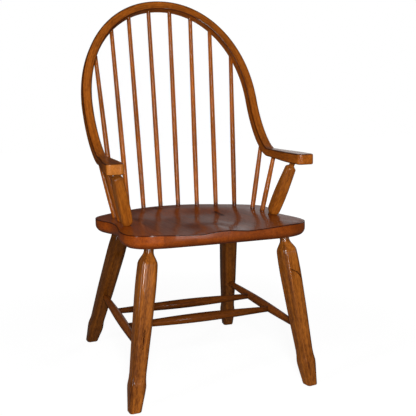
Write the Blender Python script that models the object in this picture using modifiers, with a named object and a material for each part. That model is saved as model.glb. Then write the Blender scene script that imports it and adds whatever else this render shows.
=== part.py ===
# Bow back armchair, a wooden dining chair with a carved seat and one bent rail
# that forms both the hoop of the back and the two arms.
# Metres, +Z up. The chair faces -Y, X runs across it, and the origin is on the
# floor, in the middle of the feet.

from math import cos, pi, radians, sin, sqrt

import bmesh
import bpy
from mathutils import Matrix, Vector

# Seat board
SEAT_TOP = 0.4445
SEAT_PITCH = radians(1.4)
SEAT_THICK = 0.038
SEAT_FRONT_Y = -0.315
SEAT_BACK_Y = 0.200
SEAT_FRONT_HALF = 0.2535
SEAT_WAIST_HALF = 0.238
SEAT_EAR_HALF = 0.263
SEAT_UNDER_ROUND = 0.020
SADDLE_DEPTH = 0.012
SADDLE_FRONT_DEPTH = 0.006
SADDLE_HALF = 0.188
SADDLE_BACK_Y = 0.140
SADDLE_MIDDLE_Y = -0.020
SADDLE_LEVEL_SHARE = 0.35
POMMEL_HALF = 0.064
POMMEL_RISE = 0.9
POMMEL_START_Y = -0.080
POMMEL_FULL_Y = -0.240
CARVE_MARGIN = 0.02
CARVE_CLEAR = 0.01

# Bent rail, hoop and arms
RAIL_THICK = 0.0275
ARM_THICK = 0.0235
RAIL_WIDTH_TOP = 0.026
RAIL_WIDTH_SIDE = 0.0285
RAIL_EDGE_ROUND = 0.0045
HOOP_TOP_Z = 1.067
HOOP_OVER_EARS = 0.008
HOOP_HALF = SEAT_EAR_HALF + HOOP_OVER_EARS
HOOP_ARC_HEIGHT = 0.331
HOOP_FULLNESS = 0.96
HOOP_LEAN = radians(22.3)
HOOP_LINE_Y = 0.066
ARM_TOP_Z = 0.6315
BEND_TOP_Z = 0.775
BEND_TOP_REACH = 0.110
BEND_FRONT_Y = -0.030
BEND_FRONT_REACH = 0.030
BEND_DRAW_IN = 0.004
HAND_WIDTH = 0.0475
HAND_THICK = 0.0287
HAND_FRONT_Y = -0.239
HAND_OUTSET = 0.0075
HAND_FULL_LENGTH = 0.050
HAND_FLARE = 0.165
HAND_CORNER_INNER = 0.015
HAND_CORNER_OUTER = 0.006

# Back spindles
SPINDLE_FEET_X = (0.0285, 0.0865, 0.1410, 0.1900)
SPINDLE_HEADS_X = (0.0335, 0.0985, 0.1568, 0.2155)
SPINDLE_ROW_INSET = 0.023
SPINDLE_ROW_BACK_Y = SEAT_BACK_Y - SPINDLE_ROW_INSET
SPINDLE_ROW_RADIUS = 0.290
SPINDLE_FOOT_RADIUS = 0.0067
SPINDLE_SWELL_RADIUS = 0.0076
SPINDLE_HEAD_RADIUS = 0.0061

# Arm spindles: the rear one stands in from the ear, the front one from the waist
REAR_SPINDLE_INSET = 0.051
REAR_SPINDLE_Y = 0.014
FRONT_SPINDLE_INSET = 0.0245
FRONT_SPINDLE_Y = -0.054
ARM_SPINDLE_FEET = (
    (SEAT_EAR_HALF - REAR_SPINDLE_INSET, REAR_SPINDLE_Y),
    (SEAT_WAIST_HALF - FRONT_SPINDLE_INSET, FRONT_SPINDLE_Y),
)
ARM_SPINDLE_HEADS_Y = (0.040, -0.054)
ARM_SPINDLE_FOOT_RADIUS = 0.0067
ARM_SPINDLE_SWELL_RADIUS = 0.0074
ARM_SPINDLE_HEAD_RADIUS = 0.0060

# Arm posts: each stands in from the waist
POST_FOOT_INSET = 0.0265
POST_FOOT = (SEAT_WAIST_HALF - POST_FOOT_INSET, -0.128)
POST_HEAD_Y = -0.180
POST_HEAD_INSET = 0.011
POST_TURN = radians(8)
POST_FOOT_HALF = 0.0105
POST_BELLY_HALF = 0.0157
POST_SHOULDER_HALF = 0.0132
POST_NECK_RADIUS = 0.0076
POST_NECK_LENGTH = 0.010
POST_SHOULDER_LENGTH = 0.008
POST_FOOT_ROUND = 0.009

# Legs: each socket lies in from the seat's edges, and each foot splays out from it
FRONT_SOCKET_INSET = (0.0647, 0.0605)
FRONT_SPLAY = (0.0617, -0.0420)
BACK_SOCKET_INSET = (0.095, 0.099)
BACK_SPLAY = (0.069, 0.1976)
FRONT_SOCKET = (SEAT_FRONT_HALF - FRONT_SOCKET_INSET[0], SEAT_FRONT_Y + FRONT_SOCKET_INSET[1])
FRONT_FOOT = (FRONT_SOCKET[0] + FRONT_SPLAY[0], FRONT_SOCKET[1] + FRONT_SPLAY[1])
BACK_SOCKET = (SEAT_EAR_HALF - BACK_SOCKET_INSET[0], SEAT_BACK_Y - BACK_SOCKET_INSET[1])
BACK_FOOT = (BACK_SOCKET[0] + BACK_SPLAY[0], BACK_SOCKET[1] + BACK_SPLAY[1])
LEG_NECK_RADIUS = 0.0125
LEG_NECK_LENGTH = 0.012
LEG_SHOULDER_LENGTH = 0.033
LEG_THICK = 0.0487
LEG_SHOULDER_THICK = 0.0465
LEG_FULL_BELOW = 0.100
LEG_ANKLE_THICK = 0.039
LEG_ANKLE_HEIGHT = 0.100
LEG_BULGE_THICK = 0.0435
LEG_BULGE_HEIGHT = 0.068
LEG_FOOT_THICK = 0.0318
EDGE_CHAMFER = 0.24
EDGE_SOFTNESS = 0.42
FRONT_LEG_TURNS = (radians(4), radians(9))
FOOT_EDGE = 0.003

# Stretchers
SIDE_STRETCHER_FRONT_Z = 0.161
SIDE_STRETCHER_BACK_Z = 0.172
SIDE_STRETCHER_END_RADIUS = 0.0082
SIDE_STRETCHER_MID_RADIUS = 0.0128
CROSS_STRETCHERS_Y = (("cross_stretcher_front", -0.100), ("cross_stretcher_back", 0.040))
CROSS_STRETCHER_END_RADIUS = 0.0080
CROSS_STRETCHER_MID_RADIUS = 0.0135
BAR_SWELL = 1.3
SLOPED_GAP = 0.0012

# Joints: each tenon fits a blind socket with this gap all round
GAP = 0.0003
SPINDLE_TENON = 0.016
RAIL_TENON = 0.012
POST_TENON = 0.018
LEG_TENON = 0.024
STRETCHER_TENON = 0.015
CROSS_TENON = 0.008

SIDES = (("left", -1), ("right", 1))

# Facets and steps
TURNED_SIDES = 12
SOCKET_SIDES = 12
EDGE_STEPS = 3
HOOP_STEPS = 22
SIDE_STEPS = 2
BEND_STEPS = 12
ARM_STEPS = 7
HAND_STEPS = (1.0, 0.7, 0.45, 0.25, 0.1, 0.02)
OUTLINE_STEPS = 4
UNDER_ROUND_STEPS = 4
CARVE_COLUMNS = 26
CARVE_ROWS = 22
BAR_STEPS = 10
SEARCH_STEPS = 30
WELD = 0.00001

# Colour, roughness and metallic value of each finish
OAK = ((0.30, 0.085, 0.013), 0.32, 0.0)
OAK_SEAT = ((0.17, 0.050, 0.016), 0.28, 0.0)
OAK_LEG = ((0.27, 0.078, 0.013), 0.36, 0.0)

for old in list(bpy.data.objects):
    bpy.data.objects.remove(old, do_unlink=True)

chair = bpy.data.collections.new("bow_back_armchair")
bpy.context.scene.collection.children.link(chair)
cutters = bpy.data.collections.new("socket_cutters")
bpy.context.scene.collection.children.link(cutters)


def material(name, finish):
    colour, roughness, metallic = finish
    made = bpy.data.materials.new(name)
    made.use_nodes = True
    shader = made.node_tree.nodes["Principled BSDF"]
    shader.inputs["Base Color"].default_value = (*colour, 1.0)
    shader.inputs["Roughness"].default_value = roughness
    shader.inputs["Metallic"].default_value = metallic
    return made


def piece_from_bmesh(name, bm, finish, smooth_below=40.0):
    """Makes one named sub-part with its own material from a closed bmesh."""
    bmesh.ops.recalc_face_normals(bm, faces=bm.faces)
    mesh = bpy.data.meshes.new(name)
    bm.to_mesh(mesh)
    bm.free()
    mesh.shade_smooth()
    mesh.set_sharp_from_angle(angle=radians(smooth_below))
    mesh.materials.append(material(name + "_oak", finish))
    piece = bpy.data.objects.new(name, mesh)
    chair.objects.link(piece)
    return piece


def mix(a, b, share):
    return a + (b - a) * share


def ease(value, low, high):
    """Rises smoothly from 0 at low to 1 at high; low may be the larger of the two."""
    share = min(max((value - low) / (high - low), 0.0), 1.0)
    return share * share * (3 - 2 * share)


def along(points, distance):
    """Reads a profile, a list of (distance, size), between its points."""
    for (d0, s0), (d1, s1) in zip(points, points[1:]):
        if distance <= d1:
            return mix(s0, s1, (distance - d0) / (d1 - d0))
    return points[-1][1]


def loft(rings, close_first=True, close_last=True):
    """Skins rings of equal point counts into one body."""
    bm = bmesh.new()
    rows = [[bm.verts.new(point) for point in ring] for ring in rings]
    count = len(rows[0])
    for low, high in zip(rows, rows[1:]):
        for i in range(count):
            j = (i + 1) % count
            bm.faces.new((low[i], low[j], high[j], high[i]))
    if close_first:
        bm.faces.new(rows[0])
    if close_last:
        bm.faces.new(rows[-1])
    return bm


def axis_frame(start, end):
    """Local frame at start: Z runs to end, X lies along the chair's X, or upward on a cross bar."""
    z = (end - start).normalized()
    near = Vector((0, 0, 1)) if abs(z.x) > 0.9 else Vector((1, 0, 0))
    x = (near - z * near.dot(z)).normalized()
    y = z.cross(x)
    return Matrix.Translation(start) @ Matrix((x, y, z)).transposed().to_4x4()


def turned(name, start, end, profile, finish, sides=TURNED_SIDES):
    """Turned bar from start to end; profile is (distance from start, radius)."""
    outline = [(0.0, profile[-1][0])]
    outline += [(radius, distance) for distance, radius in reversed(profile)]
    outline += [(0.0, profile[0][0])]
    mesh = bpy.data.meshes.new(name)
    edges = [(i, i + 1) for i in range(len(outline) - 1)]
    mesh.from_pydata([(r, 0.0, d) for r, d in outline], edges, [])
    mesh.materials.append(material(name + "_oak", finish))
    bar = bpy.data.objects.new(name, mesh)
    chair.objects.link(bar)
    screw = bar.modifiers.new("turn", "SCREW")
    screw.axis = "Z"
    screw.steps = sides
    screw.render_steps = sides
    screw.use_merge_vertices = True
    screw.merge_threshold = WELD
    screw.use_smooth_shade = True
    bar.matrix_world = axis_frame(start, end)
    return bar


def socket(name, mouth, depth_point, radius, lead=0.02):
    """Blind cutter from outside the mouth to a flat bottom; its flats, not its corners, touch the radius."""
    direction = (depth_point - mouth).normalized()
    start = mouth - direction * lead
    length = (depth_point - start).length
    corner_radius = radius / cos(pi / SOCKET_SIDES)
    mesh = bpy.data.meshes.new(name)
    bm = bmesh.new()
    bmesh.ops.create_cone(
        bm,
        cap_ends=True,
        segments=SOCKET_SIDES,
        radius1=corner_radius,
        radius2=corner_radius,
        depth=length,
        matrix=Matrix.Translation((0, 0, length / 2)),
    )
    bm.to_mesh(mesh)
    bm.free()
    cutter = bpy.data.objects.new(name, mesh)
    cutters.objects.link(cutter)
    cutter.matrix_world = axis_frame(start, depth_point)
    cutter.hide_render = True
    cutter.display_type = "WIRE"
    return cutter


def cut(piece, cutter):
    boolean = piece.modifiers.new(cutter.name, "BOOLEAN")
    boolean.operation = "DIFFERENCE"
    boolean.solver = "EXACT"
    boolean.object = cutter


# The bent rail: an elliptic hoop on a leaning plane, a straight run down each
# side, a bend, and a level arm. The rail's width lies across the hoop and across
# the arm, its thickness is the hoop's depth and the arm's height.
HOOP_A = HOOP_HALF - RAIL_WIDTH_SIDE / 2
HOOP_B = HOOP_ARC_HEIGHT - RAIL_WIDTH_TOP / 2
ARM_Z = ARM_TOP_Z - ARM_THICK / 2
HOOP_UP = Vector((0, sin(HOOP_LEAN), cos(HOOP_LEAN)))
HOOP_FRONT = Vector((0, -cos(HOOP_LEAN), sin(HOOP_LEAN)))
# Where the hoop's side, run on straight, would meet the arm's level
HOOP_LINE_FOOT = Vector((HOOP_A, HOOP_LINE_Y, ARM_Z))
HOOP_TOP_RUN = (HOOP_TOP_Z - ARM_Z) / cos(HOOP_LEAN) - RAIL_WIDTH_TOP / 2
HOOP_CENTRE_RUN = HOOP_TOP_RUN - HOOP_B
BEND_RUN = (BEND_TOP_Z - ARM_Z) / cos(HOOP_LEAN)


def hoop_point(angle):
    """Middle of the rail on the hoop's arc, a little fuller than an ellipse; angle from the top."""
    run = HOOP_CENTRE_RUN + HOOP_B * max(cos(angle), 0.0) ** HOOP_FULLNESS
    point = HOOP_LINE_FOOT + HOOP_UP * run
    point.x = HOOP_A * sin(angle) ** HOOP_FULLNESS
    return point


def hoop_outward(angle):
    """Normal of the arc in the hoop's plane."""
    power = 2 - HOOP_FULLNESS
    across = HOOP_B * sin(angle) ** power
    upward = HOOP_A * max(cos(angle), 0.0) ** power
    return (Vector((across, 0, 0)) + HOOP_UP * upward).normalized()


def hoop_half(angle):
    """Half the rail's width across the hoop."""
    return mix(RAIL_WIDTH_TOP, RAIL_WIDTH_SIDE, sin(angle) ** 2) / 2


def hoop_angle(x):
    """Angle at which the middle of the rail stands this far across."""
    low, high = 0.0, radians(90)
    for _ in range(SEARCH_STEPS):
        angle = (low + high) / 2
        if hoop_point(angle).x < abs(x):
            low = angle
        else:
            high = angle
    return angle


BEND_GUIDE = (
    HOOP_LINE_FOOT + HOOP_UP * BEND_RUN,
    HOOP_LINE_FOOT + HOOP_UP * (BEND_RUN - BEND_TOP_REACH),
    Vector((HOOP_A, BEND_FRONT_Y + BEND_FRONT_REACH, ARM_Z)),
    Vector((HOOP_A, BEND_FRONT_Y, ARM_Z)),
)


def bend_at(share):
    """Middle of the rail in its bend, from 0 on the hoop to 1 on the arm, and its front normal."""
    a, b, c, d = BEND_GUIDE
    rest = 1 - share
    middle = a * rest**3 + b * (3 * rest**2 * share) + c * (3 * rest * share**2) + d * share**3
    way = ((b - a) * rest**2 + (c - b) * (2 * rest * share) + (d - c) * share**2).normalized()
    middle.x = arm_middle_x(middle.y)
    return middle, way.cross(Vector((1, 0, 0)))


def arm_middle_x(y):
    draw_in = BEND_DRAW_IN * ease(y, BEND_GUIDE[0].y, BEND_FRONT_Y)
    return HOOP_A - draw_in + (HAND_OUTSET + BEND_DRAW_IN) * ease(y, BEND_FRONT_Y, HAND_FRONT_Y)


def arm_width(y):
    full_y = HAND_FRONT_Y + HAND_FULL_LENGTH
    return mix(RAIL_WIDTH_SIDE, HAND_WIDTH, ease(y, full_y + HAND_FLARE, full_y))


def rail_thick(y):
    """The rail thins into the arm and thickens again toward the hand rest."""
    arm = mix(RAIL_THICK, ARM_THICK, ease(y, HOOP_LINE_Y, BEND_FRONT_Y))
    return mix(arm, HAND_THICK, ease(y, BEND_FRONT_Y, HAND_FRONT_Y + HAND_FULL_LENGTH))


def arm_middle(y):
    """Middle of the level arm; its top stays level."""
    return Vector((arm_middle_x(y), y, ARM_TOP_Z - rail_thick(y) / 2))


def corner_inset(distance, radius):
    """How far a round corner has pulled in the edge, this far from the end."""
    if distance >= radius:
        return 0.0
    return radius - sqrt(radius * radius - (radius - distance) ** 2)


def rail_ring(middle, outward, front, inner, outer, thick):
    """Rounded rectangle: inner and outer reach across, thick front to back."""
    r = RAIL_EDGE_ROUND
    ring = []
    for sx, sy in ((1, 1), (-1, 1), (-1, -1), (1, -1)):
        reach = outer if sx > 0 else inner
        for step in range(EDGE_STEPS + 1):
            turn = radians(90) * step / EDGE_STEPS
            a = cos(turn) if sx * sy > 0 else sin(turn)
            b = sin(turn) if sx * sy > 0 else cos(turn)
            across = sx * (reach - r + r * a)
            depth = sy * (thick / 2 - r + r * b)
            ring.append(middle + outward * across + front * depth)
    return ring


rings = []
for step in range(HOOP_STEPS + 1):
    angle = radians(90) * step / HOOP_STEPS
    half = hoop_half(angle)
    rings.append(rail_ring(hoop_point(angle), hoop_outward(angle), HOOP_FRONT, half, half, RAIL_THICK))

side_out = Vector((1, 0, 0))
side_half = RAIL_WIDTH_SIDE / 2
for step in range(1, SIDE_STEPS):
    run = mix(HOOP_CENTRE_RUN, BEND_RUN, step / SIDE_STEPS)
    rings.append(rail_ring(HOOP_LINE_FOOT + HOOP_UP * run, side_out, HOOP_FRONT, side_half, side_half, RAIL_THICK))

for step in range(BEND_STEPS + 1):
    middle, front = bend_at(step / BEND_STEPS)
    half = arm_width(middle.y) / 2
    rings.append(rail_ring(middle, side_out, front, half, half, rail_thick(middle.y)))

up = Vector((0, 0, 1))
corner = max(HAND_CORNER_INNER, HAND_CORNER_OUTER)
arm_ys = [mix(BEND_FRONT_Y, HAND_FRONT_Y + corner, step / ARM_STEPS) for step in range(1, ARM_STEPS)]
arm_ys += [HAND_FRONT_Y + corner * share for share in HAND_STEPS]
for y in arm_ys:
    half = arm_width(y) / 2
    inner = half - corner_inset(y - HAND_FRONT_Y, HAND_CORNER_INNER)
    outer = half - corner_inset(y - HAND_FRONT_Y, HAND_CORNER_OUTER)
    rings.append(rail_ring(arm_middle(y), side_out, up, inner, outer, rail_thick(y)))

rail = piece_from_bmesh("bow_and_arms", loft(rings, close_first=False), OAK)
mirror = rail.modifiers.new("other_side", "MIRROR")
mirror.use_axis = (True, False, False)
mirror.merge_threshold = WELD


# The seat board: a shield outline with ears, waist and round front corners, its
# lower edge rounded under, and its top carved to a saddle that stops short of
# the spindles and leaves a pommel in the middle of the front.
def saddle_height(x, y):
    behind = max(y - SADDLE_MIDDLE_Y, 0.0) / (SADDLE_BACK_Y - SADDLE_MIDDLE_Y)
    dish = ease(sqrt((x / SADDLE_HALF) ** 2 + behind**2), 1.0, SADDLE_LEVEL_SHARE)
    depth = mix(SADDLE_FRONT_DEPTH, SADDLE_DEPTH, ease(y, SEAT_FRONT_Y, POMMEL_START_Y))
    pommel = POMMEL_RISE * ease(-y, -POMMEL_START_Y, -POMMEL_FULL_Y) * max(0.0, 1 - (x / POMMEL_HALF) ** 2) ** 2
    return SEAT_TOP - depth * dish * (1 - pommel)


# The board leans back a little: it turns about the spindles' row
SEAT_TURN = (
    Matrix.Translation((0, SPINDLE_ROW_BACK_Y, SEAT_TOP))
    @ Matrix.Rotation(-SEAT_PITCH, 4, "X")
    @ Matrix.Translation((0, -SPINDLE_ROW_BACK_Y, -SEAT_TOP))
)


SEAT_NORMAL = SEAT_TURN.to_3x3() @ Vector((0, 0, 1))


def on_seat(x, y, below=0.0):
    """Point of the board's flat top, or so far below it."""
    return SEAT_TURN @ Vector((x, y, SEAT_TOP - below))


SEAT_HALF_OUTLINE = (
    (0.000, SEAT_FRONT_Y),
    (SEAT_FRONT_HALF * 0.395, SEAT_FRONT_Y + 0.001),
    (SEAT_FRONT_HALF * 0.663, SEAT_FRONT_Y + 0.004),
    (SEAT_FRONT_HALF * 0.852, SEAT_FRONT_Y + 0.018),
    (SEAT_FRONT_HALF - 0.008, SEAT_FRONT_Y + 0.047),
    (SEAT_FRONT_HALF, SEAT_FRONT_Y + 0.090),
    (SEAT_FRONT_HALF - 0.004, SEAT_FRONT_Y + 0.135),
    (SEAT_WAIST_HALF + 0.004, -0.135),
    (SEAT_WAIST_HALF, -0.090),
    (SEAT_WAIST_HALF + 0.004, -0.048),
    (SEAT_EAR_HALF - 0.009, -0.015),
    (SEAT_EAR_HALF, 0.028),
    (SEAT_EAR_HALF - 0.009, 0.068),
    (SEAT_EAR_HALF * 0.844, SEAT_BACK_Y - 0.097),
    (SEAT_EAR_HALF * 0.589, SEAT_BACK_Y - 0.052),
    (SEAT_EAR_HALF * 0.297, SEAT_BACK_Y - 0.012),
    (0.000, SEAT_BACK_Y),
)

outline = bpy.data.curves.new("seat_outline", "CURVE")
outline.dimensions = "2D"
outline.fill_mode = "BOTH"
outline.extrude = (SEAT_THICK + CARVE_CLEAR) / 2
outline.resolution_u = OUTLINE_STEPS
spline = outline.splines.new("BEZIER")
spline.use_cyclic_u = True
half_outline = list(SEAT_HALF_OUTLINE)
full_outline = half_outline + [(-x, y) for x, y in reversed(half_outline[1:-1])]
spline.bezier_points.add(len(full_outline) - 1)
for bezier, (x, y) in zip(spline.bezier_points, full_outline):
    bezier.co = (x, y, 0.0)
    bezier.handle_left_type = "AUTO"
    bezier.handle_right_type = "AUTO"
board_curve = bpy.data.objects.new("seat_outline", outline)
chair.objects.link(board_curve)
board_curve.location.z = SEAT_TOP - SEAT_THICK + outline.extrude
bpy.context.view_layer.update()
board_mesh = bpy.data.meshes.new_from_object(board_curve.evaluated_get(bpy.context.evaluated_depsgraph_get()))
bm = bmesh.new()
bm.from_mesh(board_mesh)
bmesh.ops.transform(bm, matrix=board_curve.matrix_world, verts=bm.verts)
bmesh.ops.remove_doubles(bm, verts=bm.verts, dist=WELD)
bpy.data.objects.remove(board_curve, do_unlink=True)
bmesh.ops.dissolve_limit(bm, angle_limit=radians(0.5), verts=bm.verts, edges=bm.edges)
bm.normal_update()
under_z = SEAT_TOP - SEAT_THICK + WELD
under_edges = [
    edge
    for edge in bm.edges
    if all(vert.co.z < under_z for vert in edge.verts)
    and len(edge.link_faces) == 2
    and any(abs(face.normal.z) < 0.5 for face in edge.link_faces)
]
bmesh.ops.bevel(
    bm,
    geom=under_edges,
    offset=SEAT_UNDER_ROUND,
    segments=UNDER_ROUND_STEPS,
    profile=0.5,
    affect="EDGES",
    clamp_overlap=False,
)
bmesh.ops.transform(bm, matrix=SEAT_TURN, verts=bm.verts)
seat = piece_from_bmesh("seat", bm, OAK_SEAT)

carving = bmesh.new()
bmesh.ops.create_grid(carving, x_segments=CARVE_COLUMNS, y_segments=CARVE_ROWS, size=0.5)
carve_half = max(SEAT_EAR_HALF, SEAT_FRONT_HALF) + CARVE_MARGIN
carve_front = SEAT_FRONT_Y - CARVE_MARGIN
carve_back = SEAT_BACK_Y + CARVE_MARGIN
for vert in carving.verts:
    vert.co.x *= 2 * carve_half
    vert.co.y = mix(carve_front, carve_back, vert.co.y + 0.5)
    vert.co.z = saddle_height(vert.co.x, vert.co.y)
raised = bmesh.ops.extrude_face_region(carving, geom=list(carving.faces))
for vert in raised["geom"]:
    if isinstance(vert, bmesh.types.BMVert):
        vert.co.z = SEAT_TOP + 2 * CARVE_CLEAR
bmesh.ops.transform(carving, matrix=SEAT_TURN, verts=carving.verts)
bmesh.ops.recalc_face_normals(carving, faces=carving.faces)
carving_mesh = bpy.data.meshes.new("saddle_cutter")
carving.to_mesh(carving_mesh)
carving.free()
saddle_cutter = bpy.data.objects.new("saddle_cutter", carving_mesh)
cutters.objects.link(saddle_cutter)
saddle_cutter.hide_render = True
saddle_cutter.display_type = "WIRE"
cut(seat, saddle_cutter)


# Spindles stand between a socket in the seat and a socket in the rail
def spindle(name, foot, head, radii, rail_face):
    """foot is on the seat's top, head in the rail's middle, rail_face how far the rail's face is from it."""
    foot_radius, swell_radius, head_radius = radii
    direction = (head - foot).normalized()
    start = foot - direction * SPINDLE_TENON
    face = head - direction * rail_face
    end = face + direction * RAIL_TENON
    length = (end - start).length
    profile = [
        (0.0, foot_radius),
        (SPINDLE_TENON, foot_radius),
        (mix(SPINDLE_TENON, length, 0.12), mix(foot_radius, swell_radius, 0.6)),
        (mix(SPINDLE_TENON, length, 0.30), swell_radius),
        (mix(SPINDLE_TENON, length, 0.55), mix(head_radius, swell_radius, 0.72)),
        (mix(SPINDLE_TENON, length, 0.80), mix(head_radius, swell_radius, 0.25)),
        (length - RAIL_TENON, head_radius),
        (length, head_radius),
    ]
    turned(name, start, end, profile, OAK)
    cut(seat, socket(name + "_foot_socket", foot, start - direction * GAP, foot_radius + GAP))
    cut(rail, socket(name + "_head_socket", face, end + direction * GAP, head_radius + GAP))


BACK_RADII = (SPINDLE_FOOT_RADIUS, SPINDLE_SWELL_RADIUS, SPINDLE_HEAD_RADIUS)
feet_x = [-x for x in reversed(SPINDLE_FEET_X)] + list(SPINDLE_FEET_X)
heads_x = [-x for x in reversed(SPINDLE_HEADS_X)] + list(SPINDLE_HEADS_X)
for number, (foot_x, head_x) in enumerate(zip(feet_x, heads_x), 1):
    foot_y = SPINDLE_ROW_BACK_Y - SPINDLE_ROW_RADIUS + sqrt(SPINDLE_ROW_RADIUS**2 - foot_x**2)
    foot = on_seat(foot_x, foot_y)
    angle = hoop_angle(head_x)
    head = hoop_point(angle)
    head.x = head_x
    toward = (head - foot).normalized()
    outward = hoop_outward(angle)
    if head_x < 0:
        outward.x = -outward.x
    spindle(f"back_spindle_{number}", foot, head, BACK_RADII, hoop_half(angle) / toward.dot(outward))

ARM_RADII = (ARM_SPINDLE_FOOT_RADIUS, ARM_SPINDLE_SWELL_RADIUS, ARM_SPINDLE_HEAD_RADIUS)


def rail_middle_over(y):
    """Middle of the rail above the seat's side, on the arm or in the bend, and its front normal."""
    if y <= BEND_FRONT_Y:
        return arm_middle(y), Vector((0, 0, 1))
    low, high = 0.0, 1.0
    for _ in range(SEARCH_STEPS):
        share = (low + high) / 2
        if bend_at(share)[0].y > y:
            low = share
        else:
            high = share
    return bend_at(share)


for side, sign in SIDES:
    for number, ((x, y), head_y) in enumerate(zip(ARM_SPINDLE_FEET, ARM_SPINDLE_HEADS_Y), 1):
        foot = on_seat(sign * x, y)
        head, front = rail_middle_over(head_y)
        head.x *= sign
        toward = (head - foot).normalized()
        spindle(f"arm_spindle_{side}_{number}", foot, head, ARM_RADII, rail_thick(head.y) / 2 / toward.dot(front))


# Shaped posts and legs: a chamfered square bar that draws in to a round neck
def square_ring(frame, distance, half, round_share):
    """16 points about the frame's Z, from a chamfered square to a circle of the same half size."""
    chamfer = half * EDGE_CHAMFER
    quarter = (
        (half, 0.0),
        (half, half - chamfer),
        (half - chamfer * EDGE_SOFTNESS, half - chamfer * EDGE_SOFTNESS),
        (half - chamfer, half),
    )
    ring = []
    for turn in range(4):
        for step, (a, b) in enumerate(quarter):
            bearing = radians(22.5) * step
            a = mix(a, half * cos(bearing), round_share)
            b = mix(b, half * sin(bearing), round_share)
            spin = radians(90) * turn
            x = a * cos(spin) - b * sin(spin)
            y = a * sin(spin) + b * cos(spin)
            ring.append(frame @ Vector((x, y, distance)))
    return ring


def post(name, foot, head, turn):
    """foot is on the seat's top and head on the arm's underside."""
    direction = (head - foot).normalized()
    frame = axis_frame(foot, head) @ Matrix.Rotation(turn, 4, "Z")
    length = (head - foot).length
    neck = length - POST_NECK_LENGTH
    shoulder = neck - POST_SHOULDER_LENGTH

    def clear_of_seat(half):
        """Distance up the leaning post where a ring of this size just clears the seat."""
        rise = direction.dot(SEAT_NORMAL)
        return (half * sqrt(1 - rise**2) + 2 * GAP) / rise

    tuck = [mix(POST_FOOT_HALF, POST_BELLY_HALF, share) for share in (0.0, 0.4, 0.66, 0.82)]
    stations = [
        (-POST_TENON, POST_FOOT_HALF, 1.0),
        (clear_of_seat(tuck[0]), tuck[0], 1.0),
        (clear_of_seat(tuck[1]), tuck[1], 0.6),
        (clear_of_seat(tuck[2]) + POST_FOOT_ROUND * 0.15, tuck[2], 0.4),
        (clear_of_seat(tuck[3]) + POST_FOOT_ROUND * 0.5, tuck[3], 0.25),
        (length * 0.18, mix(POST_FOOT_HALF, POST_BELLY_HALF, 0.94), 0.2),
        (length * 0.36, POST_BELLY_HALF, 0.2),
        (length * 0.52, mix(POST_SHOULDER_HALF, POST_BELLY_HALF, 0.85), 0.2),
        (shoulder - length * 0.12, mix(POST_SHOULDER_HALF, POST_BELLY_HALF, 0.25), 0.2),
        (shoulder, POST_SHOULDER_HALF, 0.25),
        (mix(shoulder, neck, 0.45), POST_SHOULDER_HALF * 0.95, 0.4),
        (mix(shoulder, neck, 0.75), mix(POST_NECK_RADIUS, POST_SHOULDER_HALF, 0.70), 0.7),
        (mix(shoulder, neck, 0.92), mix(POST_NECK_RADIUS, POST_SHOULDER_HALF, 0.35), 0.9),
        (neck, POST_NECK_RADIUS, 1.0),
        (length + RAIL_TENON, POST_NECK_RADIUS, 1.0),
    ]
    piece_from_bmesh(name, loft([square_ring(frame, *station) for station in stations]), OAK_LEG)
    bottom = foot - direction * (POST_TENON + GAP)
    cut(seat, socket(name + "_foot_socket", foot, bottom, POST_FOOT_HALF + GAP))
    top = head + direction * (RAIL_TENON + GAP)
    cut(rail, socket(name + "_head_socket", head, top, POST_NECK_RADIUS + GAP))


for side, sign in SIDES:
    head, front = rail_middle_over(POST_HEAD_Y)
    head -= front * (rail_thick(POST_HEAD_Y) / 2)
    head.x = sign * (head.x - POST_HEAD_INSET)
    post(f"arm_post_{side}", on_seat(sign * POST_FOOT[0], POST_FOOT[1]), head, -sign * POST_TURN)


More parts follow.
